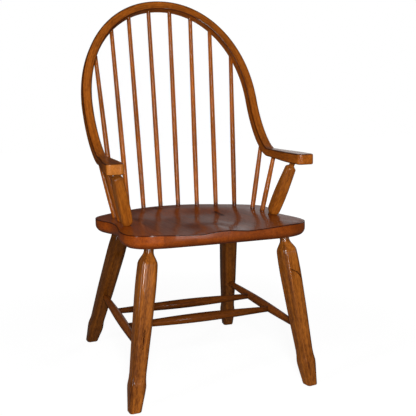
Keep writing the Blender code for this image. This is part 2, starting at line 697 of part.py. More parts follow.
def leg(name, foot, top, turn):
    """Leg from the middle of its foot on the floor to its socket in the seat's underside."""
    length = (top - foot).length
    direction = (top - foot).normalized()
    frame = axis_frame(foot, top) @ Matrix.Rotation(turn, 4, "Z")
    neck = length - LEG_NECK_LENGTH
    shoulder = neck - LEG_SHOULDER_LENGTH
    full = length - LEG_FULL_BELOW
    below = LEG_FOOT_THICK
    ankle_rise = LEG_ANKLE_HEIGHT - LEG_BULGE_HEIGHT
    stations = [
        (-below, LEG_FOOT_THICK / 2, 0.0),
        (0.0, LEG_FOOT_THICK / 2, 0.0),
        (LEG_BULGE_HEIGHT * 0.8, mix(LEG_FOOT_THICK, LEG_BULGE_THICK, 0.82) / 2, 0.0),
        (LEG_BULGE_HEIGHT * 0.93, mix(LEG_FOOT_THICK, LEG_BULGE_THICK, 0.97) / 2, 0.0),
        (LEG_BULGE_HEIGHT, LEG_BULGE_THICK / 2, 0.0),
        (LEG_BULGE_HEIGHT + ankle_rise * 0.25, mix(LEG_BULGE_THICK, LEG_ANKLE_THICK, 0.4) / 2, 0.0),
        (LEG_BULGE_HEIGHT + ankle_rise * 0.6, mix(LEG_BULGE_THICK, LEG_ANKLE_THICK, 0.88) / 2, 0.0),
        (LEG_ANKLE_HEIGHT, LEG_ANKLE_THICK / 2, 0.0),
        (mix(LEG_ANKLE_HEIGHT, full, 0.33), mix(LEG_ANKLE_THICK, LEG_THICK, 0.34) / 2, 0.0),
        (mix(LEG_ANKLE_HEIGHT, full, 0.67), mix(LEG_ANKLE_THICK, LEG_THICK, 0.75) / 2, 0.0),
        (full, LEG_THICK / 2, 0.0),
        (mix(full, shoulder, 0.6), mix(LEG_THICK, LEG_SHOULDER_THICK, 0.4) / 2, 0.0),
        (shoulder, LEG_SHOULDER_THICK / 2, 0.05),
        (mix(shoulder, neck, 0.2), LEG_SHOULDER_THICK / 2 * 0.955, 0.15),
        (mix(shoulder, neck, 0.4), mix(LEG_NECK_RADIUS, LEG_SHOULDER_THICK / 2, 0.74), 0.35),
        (mix(shoulder, neck, 0.6), mix(LEG_NECK_RADIUS, LEG_SHOULDER_THICK / 2, 0.47), 0.6),
        (mix(shoulder, neck, 0.8), mix(LEG_NECK_RADIUS, LEG_SHOULDER_THICK / 2, 0.19), 0.85),
        (neck, mix(LEG_NECK_RADIUS, LEG_SHOULDER_THICK / 2, 0.03), 1.0),
        (length, LEG_NECK_RADIUS, 1.0),
        (length + LEG_TENON, LEG_NECK_RADIUS, 1.0),
    ]
    bm = loft([square_ring(frame, *station) for station in stations])
    sawn = bmesh.ops.bisect_plane(
        bm,
        geom=list(bm.verts) + list(bm.edges) + list(bm.faces),
        dist=WELD / 10,
        plane_co=(0, 0, 0),
        plane_no=(0, 0, -1),
        clear_outer=True,
    )
    rim = [edge for edge in sawn["geom_cut"] if isinstance(edge, bmesh.types.BMEdge)]
    bmesh.ops.contextual_create(bm, geom=rim)
    rim = [edge for edge in bm.edges if all(abs(vert.co.z) < WELD for vert in edge.verts)]
    bmesh.ops.bevel(bm, geom=rim, offset=FOOT_EDGE, segments=1, affect="EDGES", clamp_overlap=True)
    bottom = top + direction * (LEG_TENON + GAP)
    cut(seat, socket(name + "_socket", top, bottom, LEG_NECK_RADIUS + GAP))
    return piece_from_bmesh(name, bm, OAK_LEG)


def on_leg(foot, top, height):
    return foot + (top - foot) * ((height - foot.z) / (top.z - foot.z))


def leg_half_at(length, distance):
    full = length - LEG_FULL_BELOW
    taper = [
        (0.0, LEG_FOOT_THICK / 2),
        (LEG_BULGE_HEIGHT, LEG_BULGE_THICK / 2),
        (LEG_ANKLE_HEIGHT, LEG_ANKLE_THICK / 2),
        (full, LEG_THICK / 2),
    ]
    return along(taper, distance)


def bar_radius(share, end_radius, mid_radius):
    """Swelling bar: thin ends, thickest half way."""
    return mix(end_radius, mid_radius, sin(pi * share) ** BAR_SWELL)


def bar_profile(length, end_radius, mid_radius):
    shares = [step / BAR_STEPS for step in range(BAR_STEPS + 1)]
    return [(length * share, bar_radius(share, end_radius, mid_radius)) for share in shares]


side_bars = []
for (side, sign), front_turn in zip(SIDES, FRONT_LEG_TURNS):
    front_foot = Vector((sign * FRONT_FOOT[0], FRONT_FOOT[1], 0))
    front_top = on_seat(sign * FRONT_SOCKET[0], FRONT_SOCKET[1], SEAT_THICK)
    back_foot = Vector((sign * BACK_FOOT[0], BACK_FOOT[1], 0))
    back_top = on_seat(sign * BACK_SOCKET[0], BACK_SOCKET[1], SEAT_THICK)
    front_leg = leg(f"leg_front_{side}", front_foot, front_top, front_turn)
    back_leg = leg(f"leg_back_{side}", back_foot, back_top, 0.0)

    front = on_leg(front_foot, front_top, SIDE_STRETCHER_FRONT_Z)
    back = on_leg(back_foot, back_top, SIDE_STRETCHER_BACK_Z)
    direction = (back - front).normalized()
    ends = []
    for foot, top, point, way in ((front_foot, front_top, front, 1), (back_foot, back_top, back, -1)):
        axis = (top - foot).normalized()
        slant = sqrt(1 - axis.dot(direction) ** 2)
        half = leg_half_at((top - foot).length, (point - foot).length) / slant
        mouth = point + direction * (way * half)
        ends.append((mouth, mouth - direction * (way * STRETCHER_TENON)))
    (front_mouth, front_end), (back_mouth, back_end) = ends
    length = (back_end - front_end).length
    profile = bar_profile(length, SIDE_STRETCHER_END_RADIUS, SIDE_STRETCHER_MID_RADIUS)
    bar = turned(f"side_stretcher_{side}", front_end, back_end, profile, OAK_LEG)
    radius = SIDE_STRETCHER_END_RADIUS + SLOPED_GAP
    cut(front_leg, socket(f"stretcher_front_socket_{side}", front_mouth, front_end - direction * GAP, radius))
    cut(back_leg, socket(f"stretcher_back_socket_{side}", back_mouth, back_end + direction * GAP, radius))
    side_bars.append((sign, bar, front_end, back_end))

for name, y in CROSS_STRETCHERS_Y:
    tips = []
    for sign, side_bar, front_end, back_end in side_bars:
        share = (y - front_end.y) / (back_end.y - front_end.y)
        point = front_end + (back_end - front_end) * share
        inward = Vector((-sign, 0, 0))
        mouth = point + inward * bar_radius(share, SIDE_STRETCHER_END_RADIUS, SIDE_STRETCHER_MID_RADIUS)
        tip = mouth - inward * CROSS_TENON
        tips.append(tip)
        radius = CROSS_STRETCHER_END_RADIUS + SLOPED_GAP
        cut(side_bar, socket(f"{name}_socket_{sign}", mouth, tip - inward * GAP, radius))
    left_tip, right_tip = tips
    length = (right_tip - left_tip).length
    profile = bar_profile(length, CROSS_STRETCHER_END_RADIUS, CROSS_STRETCHER_MID_RADIUS)
    turned(name, left_tip, right_tip, profile, OAK_LEG)
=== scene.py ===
from math import cos, pi, radians, sin, sqrt

import bmesh
import bpy
from mathutils import Matrix, Vector


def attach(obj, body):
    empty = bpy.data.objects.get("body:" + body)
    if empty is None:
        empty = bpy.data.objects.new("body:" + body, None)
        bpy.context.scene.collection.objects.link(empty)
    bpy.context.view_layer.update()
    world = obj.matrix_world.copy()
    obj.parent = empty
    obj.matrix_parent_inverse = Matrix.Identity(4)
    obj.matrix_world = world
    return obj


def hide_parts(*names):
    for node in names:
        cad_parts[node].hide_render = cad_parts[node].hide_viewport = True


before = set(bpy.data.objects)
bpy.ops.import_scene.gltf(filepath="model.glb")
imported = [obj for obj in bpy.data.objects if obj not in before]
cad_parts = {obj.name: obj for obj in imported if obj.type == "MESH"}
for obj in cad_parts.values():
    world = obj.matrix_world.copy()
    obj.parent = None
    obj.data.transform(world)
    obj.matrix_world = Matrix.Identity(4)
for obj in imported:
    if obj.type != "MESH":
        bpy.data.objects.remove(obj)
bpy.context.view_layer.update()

# The seat: three thick oak boards glued edge to edge, sawn to a shield outline with a
# waist and two ears, hollowed to a saddle, the lower edge rounded well under. Dark glaze
# is left along the crisp upper edge, and two old cracks took it up. The wall below is a
# little darker, and the rounded underside carries painted shade, darker towards the bottom.
SEAT_TOP = 0.4445
SEAT_THICK = 0.038
SEAT_ROUND = 0.020
SEAT_RIM = 0.0014
RIM_BAND = 0.0022
RIM_DROP = 0.0003
# The wall is a little darker; the underside gets painted shade, darker towards the bottom.
WALL_DARKENING = 0.18
UNDER_PAINTED_SHADE = 0.42
SEAT_PITCH = radians(1.4)
SEAT_HINGE_Y = 0.177
SEAT_CENTRE = (0.0, -0.055)
SEAT_OUTLINE = (
    (0.000, -0.3149), (0.100, -0.3140), (0.168, -0.3110), (0.216, -0.2970), (0.2455, -0.2680),
    (0.2535, -0.2250), (0.2495, -0.1800), (0.242, -0.1350), (0.238, -0.0900), (0.242, -0.0480),
    (0.254, -0.0150), (0.263, 0.0280), (0.254, 0.0680), (0.222, 0.1030), (0.155, 0.1480),
    (0.078, 0.1880), (0.000, 0.2000),
)
SADDLE_FRONT_DEPTH = 0.006
SADDLE_DEPTH = 0.012
SADDLE_FRONT_Y = -0.315
SADDLE_FULL_Y = -0.080
SADDLE_MIDDLE_Y = -0.020
SADDLE_HALF = 0.188
SADDLE_LENGTH = 0.160
POMMEL_HALF = 0.064
POMMEL_RISE = 0.9
POMMEL_START_Y = -0.080
POMMEL_FULL_Y = -0.240
SEAT_LOOPS = 26
RIM_STEPS = 3
UNDER_STEPS = 9
SEAT_BOARDS = ((-0.166, 0.80), (0.004, 0.70))
SEAT_CRACKS = (((0.101, 0.040), (0.1035, -0.022)), ((-0.053, 0.158), (-0.050, 0.132)))
SEAT_CRACK_WIDTH = 0.0078

SEAT_TURN = (
    Matrix.Translation((0, SEAT_HINGE_Y, SEAT_TOP))
    @ Matrix.Rotation(-SEAT_PITCH, 4, "X")
    @ Matrix.Translation((0, -SEAT_HINGE_Y, -SEAT_TOP))
)


def rise(value, low, high):
    share = min(max((value - low) / (high - low), 0.0), 1.0)
    return share * share * (3 - 2 * share)


def blend_of(a, b, share):
    return a + (b - a) * share


def saddle_depth(x, y):
    """How deep the seat is hollowed here: a wide saddle, with a pommel left at the front."""
    behind = max(y - SADDLE_MIDDLE_Y, 0.0) / SADDLE_LENGTH
    hollow = rise(sqrt((x / SADDLE_HALF) ** 2 + behind**2), 1.0, 0.35)
    depth = blend_of(SADDLE_FRONT_DEPTH, SADDLE_DEPTH, rise(y, SADDLE_FRONT_Y, SADDLE_FULL_Y))
    across = max(0.0, 1 - (x / POMMEL_HALF) ** 2) ** 2
    pommel = POMMEL_RISE * rise(y, POMMEL_START_Y, POMMEL_FULL_Y) * across
    return depth * hollow * (1 - pommel)


def on_seat(x, y, below=0.0):
    return SEAT_TURN @ Vector((x, y, SEAT_TOP - below))


def start_on_nothing():
    if bpy.context.object and bpy.context.object.mode != "OBJECT":
        bpy.ops.object.mode_set(mode="OBJECT")
    bpy.ops.object.select_all(action="DESELECT")


def pick_faces(piece, wanted):
    """Selects, in edit mode, the faces that the test accepts."""
    bpy.ops.mesh.select_all(action="DESELECT")
    bpy.ops.mesh.select_mode(type="FACE")
    edit = bmesh.from_edit_mesh(piece.data)
    for face in edit.faces:
        face.select = wanted(face)
    edit.select_flush_mode()
    bmesh.update_edit_mesh(piece.data)


def grain_glaze_and_shade(piece, grain_of, glaze_and_shade_of):
    """Keeps, for each point, its place in the plank it was cut from and how much glaze and painted shade
    lie there.
    """
    mesh = piece.data
    grain = [part for vert in mesh.vertices for part in grain_of(vert.co)]
    glaze_and_shade = [glaze_and_shade_of(vert.co) for vert in mesh.vertices]
    mesh.attributes.new("grain", "FLOAT_VECTOR", "POINT").data.foreach_set("vector", grain)
    mesh.attributes.new("glaze_and_shade", "FLOAT", "POINT").data.foreach_set("value", glaze_and_shade)


def math_node(nodes, links, operation, *given):
    """A math node whose inputs are numbers or other nodes' outputs."""
    math = nodes.new("ShaderNodeMath")
    math.operation = operation
    for socket, value in zip(math.inputs, given):
        if isinstance(value, (int, float)):
            socket.default_value = value
        else:
            links.new(value, socket)
    return math.outputs["Value"]


def spread_node(nodes, links, value, low, high, to_low, to_high):
    spread = nodes.new("ShaderNodeMapRange")
    spread.interpolation_type = "SMOOTHSTEP"
    spread.inputs["From Min"].default_value = low
    spread.inputs["From Max"].default_value = high
    spread.inputs["To Min"].default_value = to_low
    spread.inputs["To Max"].default_value = to_high
    links.new(value, spread.inputs["Value"])
    return spread.outputs["Result"]


def drawn_out(nodes, links, plank, scale, detail):
    """Noise whose spots are stretched along the plank."""
    stretch = nodes.new("ShaderNodeVectorMath")
    stretch.operation = "MULTIPLY"
    stretch.inputs[1].default_value = scale
    links.new(plank, stretch.inputs[0])
    noise = nodes.new("ShaderNodeTexNoise")
    noise.inputs["Scale"].default_value = 1.0
    noise.inputs["Detail"].default_value = detail
    noise.inputs["Roughness"].default_value = 0.55
    links.new(stretch.outputs["Vector"], noise.inputs["Vector"])
    return noise.outputs["Fac"]


def oak_figure():
    """Stained oak: growth bands, streaks, flecks and open pores, all drawn out along the plank's length."""
    group = bpy.data.node_groups.new("oak_figure", "ShaderNodeTree")
    face = group.interface
    face.new_socket("Plank", in_out="INPUT", socket_type="NodeSocketVector")
    face.new_socket("Glaze And Shade", in_out="INPUT", socket_type="NodeSocketFloat")
    face.new_socket("Shadow Stain", in_out="INPUT", socket_type="NodeSocketColor")
    face.new_socket("Light Stain", in_out="INPUT", socket_type="NodeSocketColor")
    face.new_socket("Contrast", in_out="INPUT", socket_type="NodeSocketFloat")
    face.new_socket("Colour", in_out="OUTPUT", socket_type="NodeSocketColor")
    face.new_socket("Roughness", in_out="OUTPUT", socket_type="NodeSocketFloat")
    face.new_socket("Height", in_out="OUTPUT", socket_type="NodeSocketFloat")
    nodes, links = group.nodes, group.links
    given = nodes.new("NodeGroupInput")
    result = nodes.new("NodeGroupOutput")
    plank = given.outputs["Plank"]
    bands = drawn_out(nodes, links, plank, (70.0, 70.0, 2.2), 3.0)
    streaks = drawn_out(nodes, links, plank, (330.0, 330.0, 8.0), 4.0)
    flecks = drawn_out(nodes, links, plank, (300.0, 300.0, 75.0), 3.0)
    blotch = drawn_out(nodes, links, plank, (16.0, 16.0, 7.0), 2.0)
    fine = drawn_out(nodes, links, plank, (1500.0, 1500.0, 60.0), 2.0)
    pores = spread_node(nodes, links, fine, 0.58, 0.68, 0.0, 1.0)
    figure = spread_node(nodes, links, bands, 0.34, 0.66, 0.0, 0.28)
    for noise, low, high, weight in (
        (streaks, 0.32, 0.68, 0.26),
        (flecks, 0.38, 0.62, 0.26),
        (blotch, 0.36, 0.64, 0.20),
    ):
        part = spread_node(nodes, links, noise, low, high, 0.0, weight)
        figure = math_node(nodes, links, "ADD", figure, part)
    swing = math_node(nodes, links, "SUBTRACT", figure, 0.5)
    swing = math_node(nodes, links, "MULTIPLY", swing, given.outputs["Contrast"])
    lightness = nodes.new("ShaderNodeClamp")
    links.new(math_node(nodes, links, "ADD", swing, 0.5), lightness.inputs["Value"])
    stain = nodes.new("ShaderNodeMix")
    stain.data_type = "RGBA"
    links.new(lightness.outputs["Result"], stain.inputs["Factor"])
    links.new(given.outputs["Shadow Stain"], stain.inputs["A"])
    links.new(given.outputs["Light Stain"], stain.inputs["B"])
    dark_pores = nodes.new("ShaderNodeMix")
    dark_pores.data_type = "RGBA"
    dark_pores.blend_type = "MULTIPLY"
    dark_pores.inputs["B"].default_value = (0.42, 0.32, 0.26, 1.0)
    links.new(math_node(nodes, links, "MULTIPLY", pores, 0.6), dark_pores.inputs["Factor"])
    links.new(stain.outputs["Result"], dark_pores.inputs["A"])
    # Glaze and painted shade darken the colour towards this.
    glazed_and_shaded = nodes.new("ShaderNodeMix")
    glazed_and_shaded.data_type = "RGBA"
    glazed_and_shaded.blend_type = "MULTIPLY"
    glazed_and_shaded.clamp_factor = True
    glazed_and_shaded.inputs["B"].default_value = (0.16, 0.11, 0.10, 1.0)
    links.new(given.outputs["Glaze And Shade"], glazed_and_shaded.inputs["Factor"])
    links.new(dark_pores.outputs["Result"], glazed_and_shaded.inputs["A"])
    links.new(glazed_and_shaded.outputs["Result"], result.inputs["Colour"])
    worn = spread_node(nodes, links, streaks, 0.3, 0.7, 0.36, 0.46)
    links.new(worn, result.inputs["Roughness"])
    ridges = spread_node(nodes, links, streaks, 0.3, 0.7, 0.0, 0.5)
    links.new(math_node(nodes, links, "SUBTRACT", ridges, pores), result.inputs["Height"])
    return group


def old_crack():
    """How far a point lies in an old crack that runs from one place in the plank to another."""
    group = bpy.data.node_groups.new("old_crack", "ShaderNodeTree")
    face = group.interface
    face.new_socket("Plank", in_out="INPUT", socket_type="NodeSocketVector")
    face.new_socket("From", in_out="INPUT", socket_type="NodeSocketVector")
    face.new_socket("To", in_out="INPUT", socket_type="NodeSocketVector")
    face.new_socket("Width", in_out="INPUT", socket_type="NodeSocketFloat")
    face.new_socket("Mask", in_out="OUTPUT", socket_type="NodeSocketFloat")
    nodes, links = group.nodes, group.links
    given = nodes.new("NodeGroupInput")
    result = nodes.new("NodeGroupOutput")

    def vectors(operation, *inputs, output="Vector"):
        node = nodes.new("ShaderNodeVectorMath")
        node.operation = operation
        for socket, value in zip(node.inputs, inputs):
            links.new(value, socket)
        return node.outputs[output]

    way = vectors("SUBTRACT", given.outputs["To"], given.outputs["From"])
    here = vectors("SUBTRACT", given.outputs["Plank"], given.outputs["From"])
    along = vectors("DOT_PRODUCT", here, way, output="Value")
    whole = vectors("DOT_PRODUCT", way, way, output="Value")
    share = nodes.new("ShaderNodeClamp")
    links.new(math_node(nodes, links, "DIVIDE", along, whole), share.inputs["Value"])
    scaled = nodes.new("ShaderNodeVectorMath")
    scaled.operation = "SCALE"
    links.new(way, scaled.inputs[0])
    links.new(share.outputs["Result"], scaled.inputs["Scale"])
    apart = vectors("SUBTRACT", here, scaled.outputs["Vector"])
    off = vectors("LENGTH", apart, output="Value")
    rough = drawn_out(nodes, links, given.outputs["Plank"], (500.0, 500.0, 500.0), 3.0)
    ragged = spread_node(nodes, links, rough, 0.3, 0.7, -0.5, 0.7)
    widths_off = math_node(nodes, links, "DIVIDE", off, given.outputs["Width"])
    from_crack = math_node(nodes, links, "ADD", widths_off, ragged)
    links.new(spread_node(nodes, links, from_crack, 0.35, 1.0, 1.0, 0.0), result.inputs["Mask"])
    return group


OAK_FIGURE = oak_figure()
OLD_CRACK = old_crack()


def lacquered_oak(name, shadow, light, contrast, lacquer=0.7, polish=0.09, waves=0.0, boards=(), cracks=()):
    """Stained oak under lacquer, read from the piece's own grain and from its glaze and painted shade.

    Boards are (where the next one begins, its tone), and cracks are (from, to, width).
    """
    made = bpy.data.materials.new(name)
    made.use_nodes = True
    nodes, links = made.node_tree.nodes, made.node_tree.links
    shader = nodes["Principled BSDF"]
    shader.inputs["Specular IOR Level"].default_value = 0.04
    shader.inputs["Coat Weight"].default_value = lacquer
    shader.inputs["Coat Roughness"].default_value = polish
    plank = nodes.new("ShaderNodeAttribute")
    plank.attribute_name = "grain"
    sawn_from, tone, before = plank.outputs["Vector"], 1.0, 1.0
    across = nodes.new("ShaderNodeSeparateXYZ")
    links.new(plank.outputs["Vector"], across.inputs["Vector"])
    for edge, next_tone in boards:
        beyond = math_node(nodes, links, "GREATER_THAN", across.outputs["X"], edge)
        change = math_node(nodes, links, "MULTIPLY", beyond, next_tone - before)
        tone = math_node(nodes, links, "ADD", tone, change)
        other = nodes.new("ShaderNodeVectorMath")
        other.operation = "MULTIPLY_ADD"
        other.inputs[1].default_value = (0.0, 0.37, 1.9)
        links.new(beyond, other.inputs[0])
        links.new(sawn_from, other.inputs[2])
        sawn_from, before = other.outputs["Vector"], next_tone
    glaze_and_shade = nodes.new("ShaderNodeAttribute")
    glaze_and_shade.attribute_name = "glaze_and_shade"
    wood = nodes.new("ShaderNodeGroup")
    wood.node_tree = OAK_FIGURE
    wood.inputs["Shadow Stain"].default_value = (*shadow, 1.0)
    wood.inputs["Light Stain"].default_value = (*light, 1.0)
    wood.inputs["Contrast"].default_value = contrast
    dark = glaze_and_shade.outputs["Fac"]
    height, opened = wood.outputs["Height"], 0.0
    for start, end, width in cracks:
        crack = nodes.new("ShaderNodeGroup")
        crack.node_tree = OLD_CRACK
        crack.inputs["From"].default_value = start
        crack.inputs["To"].default_value = end
        crack.inputs["Width"].default_value = width
        links.new(plank.outputs["Vector"], crack.inputs["Plank"])
        opened = math_node(nodes, links, "MAXIMUM", opened, crack.outputs["Mask"])
    if cracks:
        dark = math_node(nodes, links, "MAXIMUM", dark, opened)
        sunk = math_node(nodes, links, "MULTIPLY", opened, 4.0)
        height = math_node(nodes, links, "SUBTRACT", height, sunk)
        shut = math_node(nodes, links, "SUBTRACT", 1.0, opened)
        links.new(math_node(nodes, links, "MULTIPLY", shut, lacquer), shader.inputs["Coat Weight"])
    if waves:
        swell = nodes.new("ShaderNodeBump")
        swell.inputs["Distance"].default_value = waves
        ripple = drawn_out(nodes, links, plank.outputs["Vector"], (24.0, 9.0, 12.0), 1.0)
        links.new(ripple, swell.inputs["Height"])
        links.new(swell.outputs["Normal"], shader.inputs["Coat Normal"])
    relief = nodes.new("ShaderNodeBump")
    relief.inputs["Strength"].default_value = 0.6
    relief.inputs["Distance"].default_value = 0.0001
    links.new(sawn_from, wood.inputs["Plank"])
    links.new(dark, wood.inputs["Glaze And Shade"])
    colour = wood.outputs["Colour"]
    if boards:
        toned = nodes.new("ShaderNodeVectorMath")
        toned.operation = "SCALE"
        links.new(colour, toned.inputs[0])
        links.new(tone, toned.inputs["Scale"])
        colour = toned.outputs["Vector"]
    links.new(colour, shader.inputs["Base Color"])
    links.new(wood.outputs["Roughness"], shader.inputs["Roughness"])
    links.new(height, relief.inputs["Height"])
    links.new(relief.outputs["Normal"], shader.inputs["Normal"])
    return made


def finish_piece(piece, material, slot, *nodes, sharp=35.0):
    """The piece is smoothed, gets its finish, and stands for its nodes of the frame."""
    start_on_nothing()
    piece.select_set(True)
    bpy.context.view_layer.objects.active = piece
    bpy.ops.object.shade_smooth_by_angle(angle=radians(sharp))
    piece.data.materials.clear()
    piece.data.materials.append(material)
    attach(piece, "root")
    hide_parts(*nodes)


start_on_nothing()
seat_line = bpy.data.curves.new("seat_line", "CURVE")
seat_line.dimensions = "2D"
seat_line.fill_mode = "NONE"
seat_line.resolution_u = 8
edge_points = list(SEAT_OUTLINE) + [(-x, y) for x, y in reversed(SEAT_OUTLINE[1:-1])]
edge_spline = seat_line.splines.new("BEZIER")
edge_spline.use_cyclic_u = True
edge_spline.bezier_points.add(len(edge_points) - 1)
for knot, (x, y) in zip(edge_spline.bezier_points, edge_points):
    knot.co = (x, y, 0.0)
    knot.handle_left_type = "AUTO"
    knot.handle_right_type = "AUTO"
seat = bpy.data.objects.new("seat_board", seat_line)
bpy.context.scene.collection.objects.link(seat)
bpy.context.view_layer.objects.active = seat
seat.select_set(True)
bpy.ops.object.convert(target="MESH")
seat = bpy.context.active_object
wall_foot = SEAT_TOP - SEAT_THICK + SEAT_ROUND
wall = SEAT_THICK - SEAT_ROUND - SEAT_RIM - RIM_BAND - RIM_DROP
bpy.ops.object.mode_set(mode="EDIT")
bpy.ops.mesh.select_all(action="SELECT")
bpy.ops.mesh.remove_doubles(threshold=0.00001)
bpy.ops.mesh.edge_face_add()
bpy.ops.transform.translate(value=(0, 0, wall_foot))
for part in (0.5 * wall, 0.5 * wall, RIM_BAND):
    bpy.ops.mesh.extrude_region_move(TRANSFORM_OT_translate={"value": (0, 0, part)})
bpy.ops.mesh.select_all(action="SELECT")
bpy.ops.mesh.normals_make_consistent(inside=False)
pick_faces(seat, lambda face: face.normal.z > 0.9)
for step in range(1, RIM_STEPS + 1):
    a, b = radians(90) * (step - 1) / RIM_STEPS, radians(90) * step / RIM_STEPS
    bpy.ops.mesh.inset(thickness=SEAT_RIM * (cos(a) - cos(b)), depth=SEAT_RIM * (sin(b) - sin(a)))
bpy.ops.mesh.inset(thickness=RIM_BAND, depth=RIM_DROP)
for step in range(1, SEAT_LOOPS):
    share = (SEAT_LOOPS - step) / (SEAT_LOOPS - step + 1)
    bpy.ops.mesh.extrude_region_move()
    bpy.ops.transform.resize(value=(share, share, 1), center_override=(*SEAT_CENTRE, SEAT_TOP))
pick_faces(seat, lambda face: face.normal.z < -0.9)
for step in range(1, UNDER_STEPS + 1):
    a, b = radians(90) * (step - 1) / UNDER_STEPS, radians(90) * step / UNDER_STEPS
    bpy.ops.mesh.inset(thickness=SEAT_ROUND * (cos(a) - cos(b)), depth=SEAT_ROUND * (sin(b) - sin(a)))
bpy.ops.object.mode_set(mode="OBJECT")


def seat_glaze_and_shade(co):
    """A dark glaze line along the crisp upper edge, the wall below it a little darker, and painted shade on
    the underside, darker towards the bottom.
    """
    below = SEAT_TOP - co.z
    line = rise(below, 0.00005, RIM_DROP) * rise(below, RIM_DROP + SEAT_RIM + RIM_BAND, RIM_DROP + SEAT_RIM)
    on_wall = WALL_DARKENING * rise(below, RIM_DROP, RIM_DROP + SEAT_RIM)
    painted_shade_under = UNDER_PAINTED_SHADE * rise(below, 0.55 * SEAT_THICK, 0.95 * SEAT_THICK)
    return max(line, on_wall + painted_shade_under)


grain_glaze_and_shade(seat, lambda co: (co.x, co.z - saddle_depth(co.x, co.y), co.y), seat_glaze_and_shade)
for vert in seat.data.vertices:
    vert.co.z -= saddle_depth(vert.co.x, vert.co.y) * rise(vert.co.z, wall_foot, SEAT_TOP)
seat.data.transform(SEAT_TURN)
seat_cracks = [
    (*((x, SEAT_TOP - saddle_depth(x, y), y) for x, y in ends), SEAT_CRACK_WIDTH) for ends in SEAT_CRACKS
]
SEAT_STAIN_AND_SHADE = lacquered_oak(
    "seat_stain", (0.20, 0.037, 0.004), (0.45, 0.094, 0.008), 1.1,
    lacquer=0.5, polish=0.18, waves=0.0008, boards=SEAT_BOARDS, cracks=seat_cracks,
)
finish_piece(seat, SEAT_STAIN_AND_SHADE, "seat", "seat")


# The legs: square oak, tapered down to a slim foot with a swelling above it, every long
# edge planed off. At the top each draws in over four soft shoulders to a round neck,
# which is driven into the seat's underside. Glaze and painted shade lie on the planed
# edges, the neck is darker, and glaze lies in the cracks. The back legs' stain is also
# darkened by painted shade from the seat above them.
LEG_HALF = 0.02435
LEG_SHOULDER_HALF = 0.02325
LEG_NECK = 0.0125
LEG_NECK_LENGTH = 0.012
LEG_SHOULDER_LENGTH = 0.033
LEG_FULL_BELOW = 0.100
LEG_SPARE = 0.030
LEG_CHAMFER = 0.0058
FOOT_EDGE = 0.003
LEG_LINE = (
    (0.007, 0.0165), (0.020, 0.0176), (0.040, 0.0196), (0.056, 0.0211), (0.065, 0.02165), (0.070, 0.0216),
    (0.077, 0.0209), (0.087, 0.0199), (0.100, 0.0195), (0.135, 0.0204), (0.175, 0.0215), (0.215, 0.0226),
)
# How far up the shoulder, how much of its width is left, and how round it is
LEG_SHOULDER_LINE = (
    (0.10, 0.985, 0.08), (0.20, 0.925, 0.14), (0.30, 0.855, 0.22), (0.40, 0.74, 0.32), (0.50, 0.61, 0.44),
    (0.60, 0.47, 0.58), (0.70, 0.32, 0.72), (0.80, 0.19, 0.85), (0.90, 0.09, 0.95), (1.0, 0.03, 1.0),
)
FRONT_FOOT, FRONT_TOP = (0.2505, -0.2965), (0.1888, -0.2545)
BACK_FOOT, BACK_TOP = (0.237, 0.2986), (0.168, 0.101)
# Name, side, foot, top, turn in degrees, and tone, which on the back legs is painted shade from the seat
LEGS = (
    ("leg_front_left", -1, FRONT_FOOT, FRONT_TOP, 4.0, 1.0),
    ("leg_front_right", 1, FRONT_FOOT, FRONT_TOP, 9.0, 1.0),
    ("leg_back_left", -1, BACK_FOOT, BACK_TOP, 0.0, 0.54),
    ("leg_back_right", 1, BACK_FOOT, BACK_TOP, 0.0, 0.72),
)
LEG_CRACKS = {
    "leg_front_left": (
        ((0.0005, -0.0220, 0.2139), (-0.0004, -0.0215, 0.1897), 0.0032),
        ((-0.0004, -0.0215, 0.1897), (-0.0004, -0.0210, 0.1668), 0.0024),
    ),
    "leg_front_right": (
        ((-0.0100, -0.0240, 0.3325), (0.0068, -0.0240, 0.3209), 0.0022),
        ((0.0068, -0.0240, 0.3209), (0.0167, -0.0240, 0.3043), 0.0034),
    ),
}


def set_along(start, end, turn=0.0):
    """Place of a piece that was made standing on the origin, as it is set from start towards end."""
    up = (end - start).normalized()
    near = Vector((0, 0, 1)) if abs(up.x) > 0.9 else Vector((1, 0, 0))
    side = (near - up * near.dot(up)).normalized()
    frame_of = Matrix((side, up.cross(side), up)).transposed().to_4x4()
    return Matrix.Translation(start) @ frame_of @ Matrix.Rotation(turn, 4, "Z")


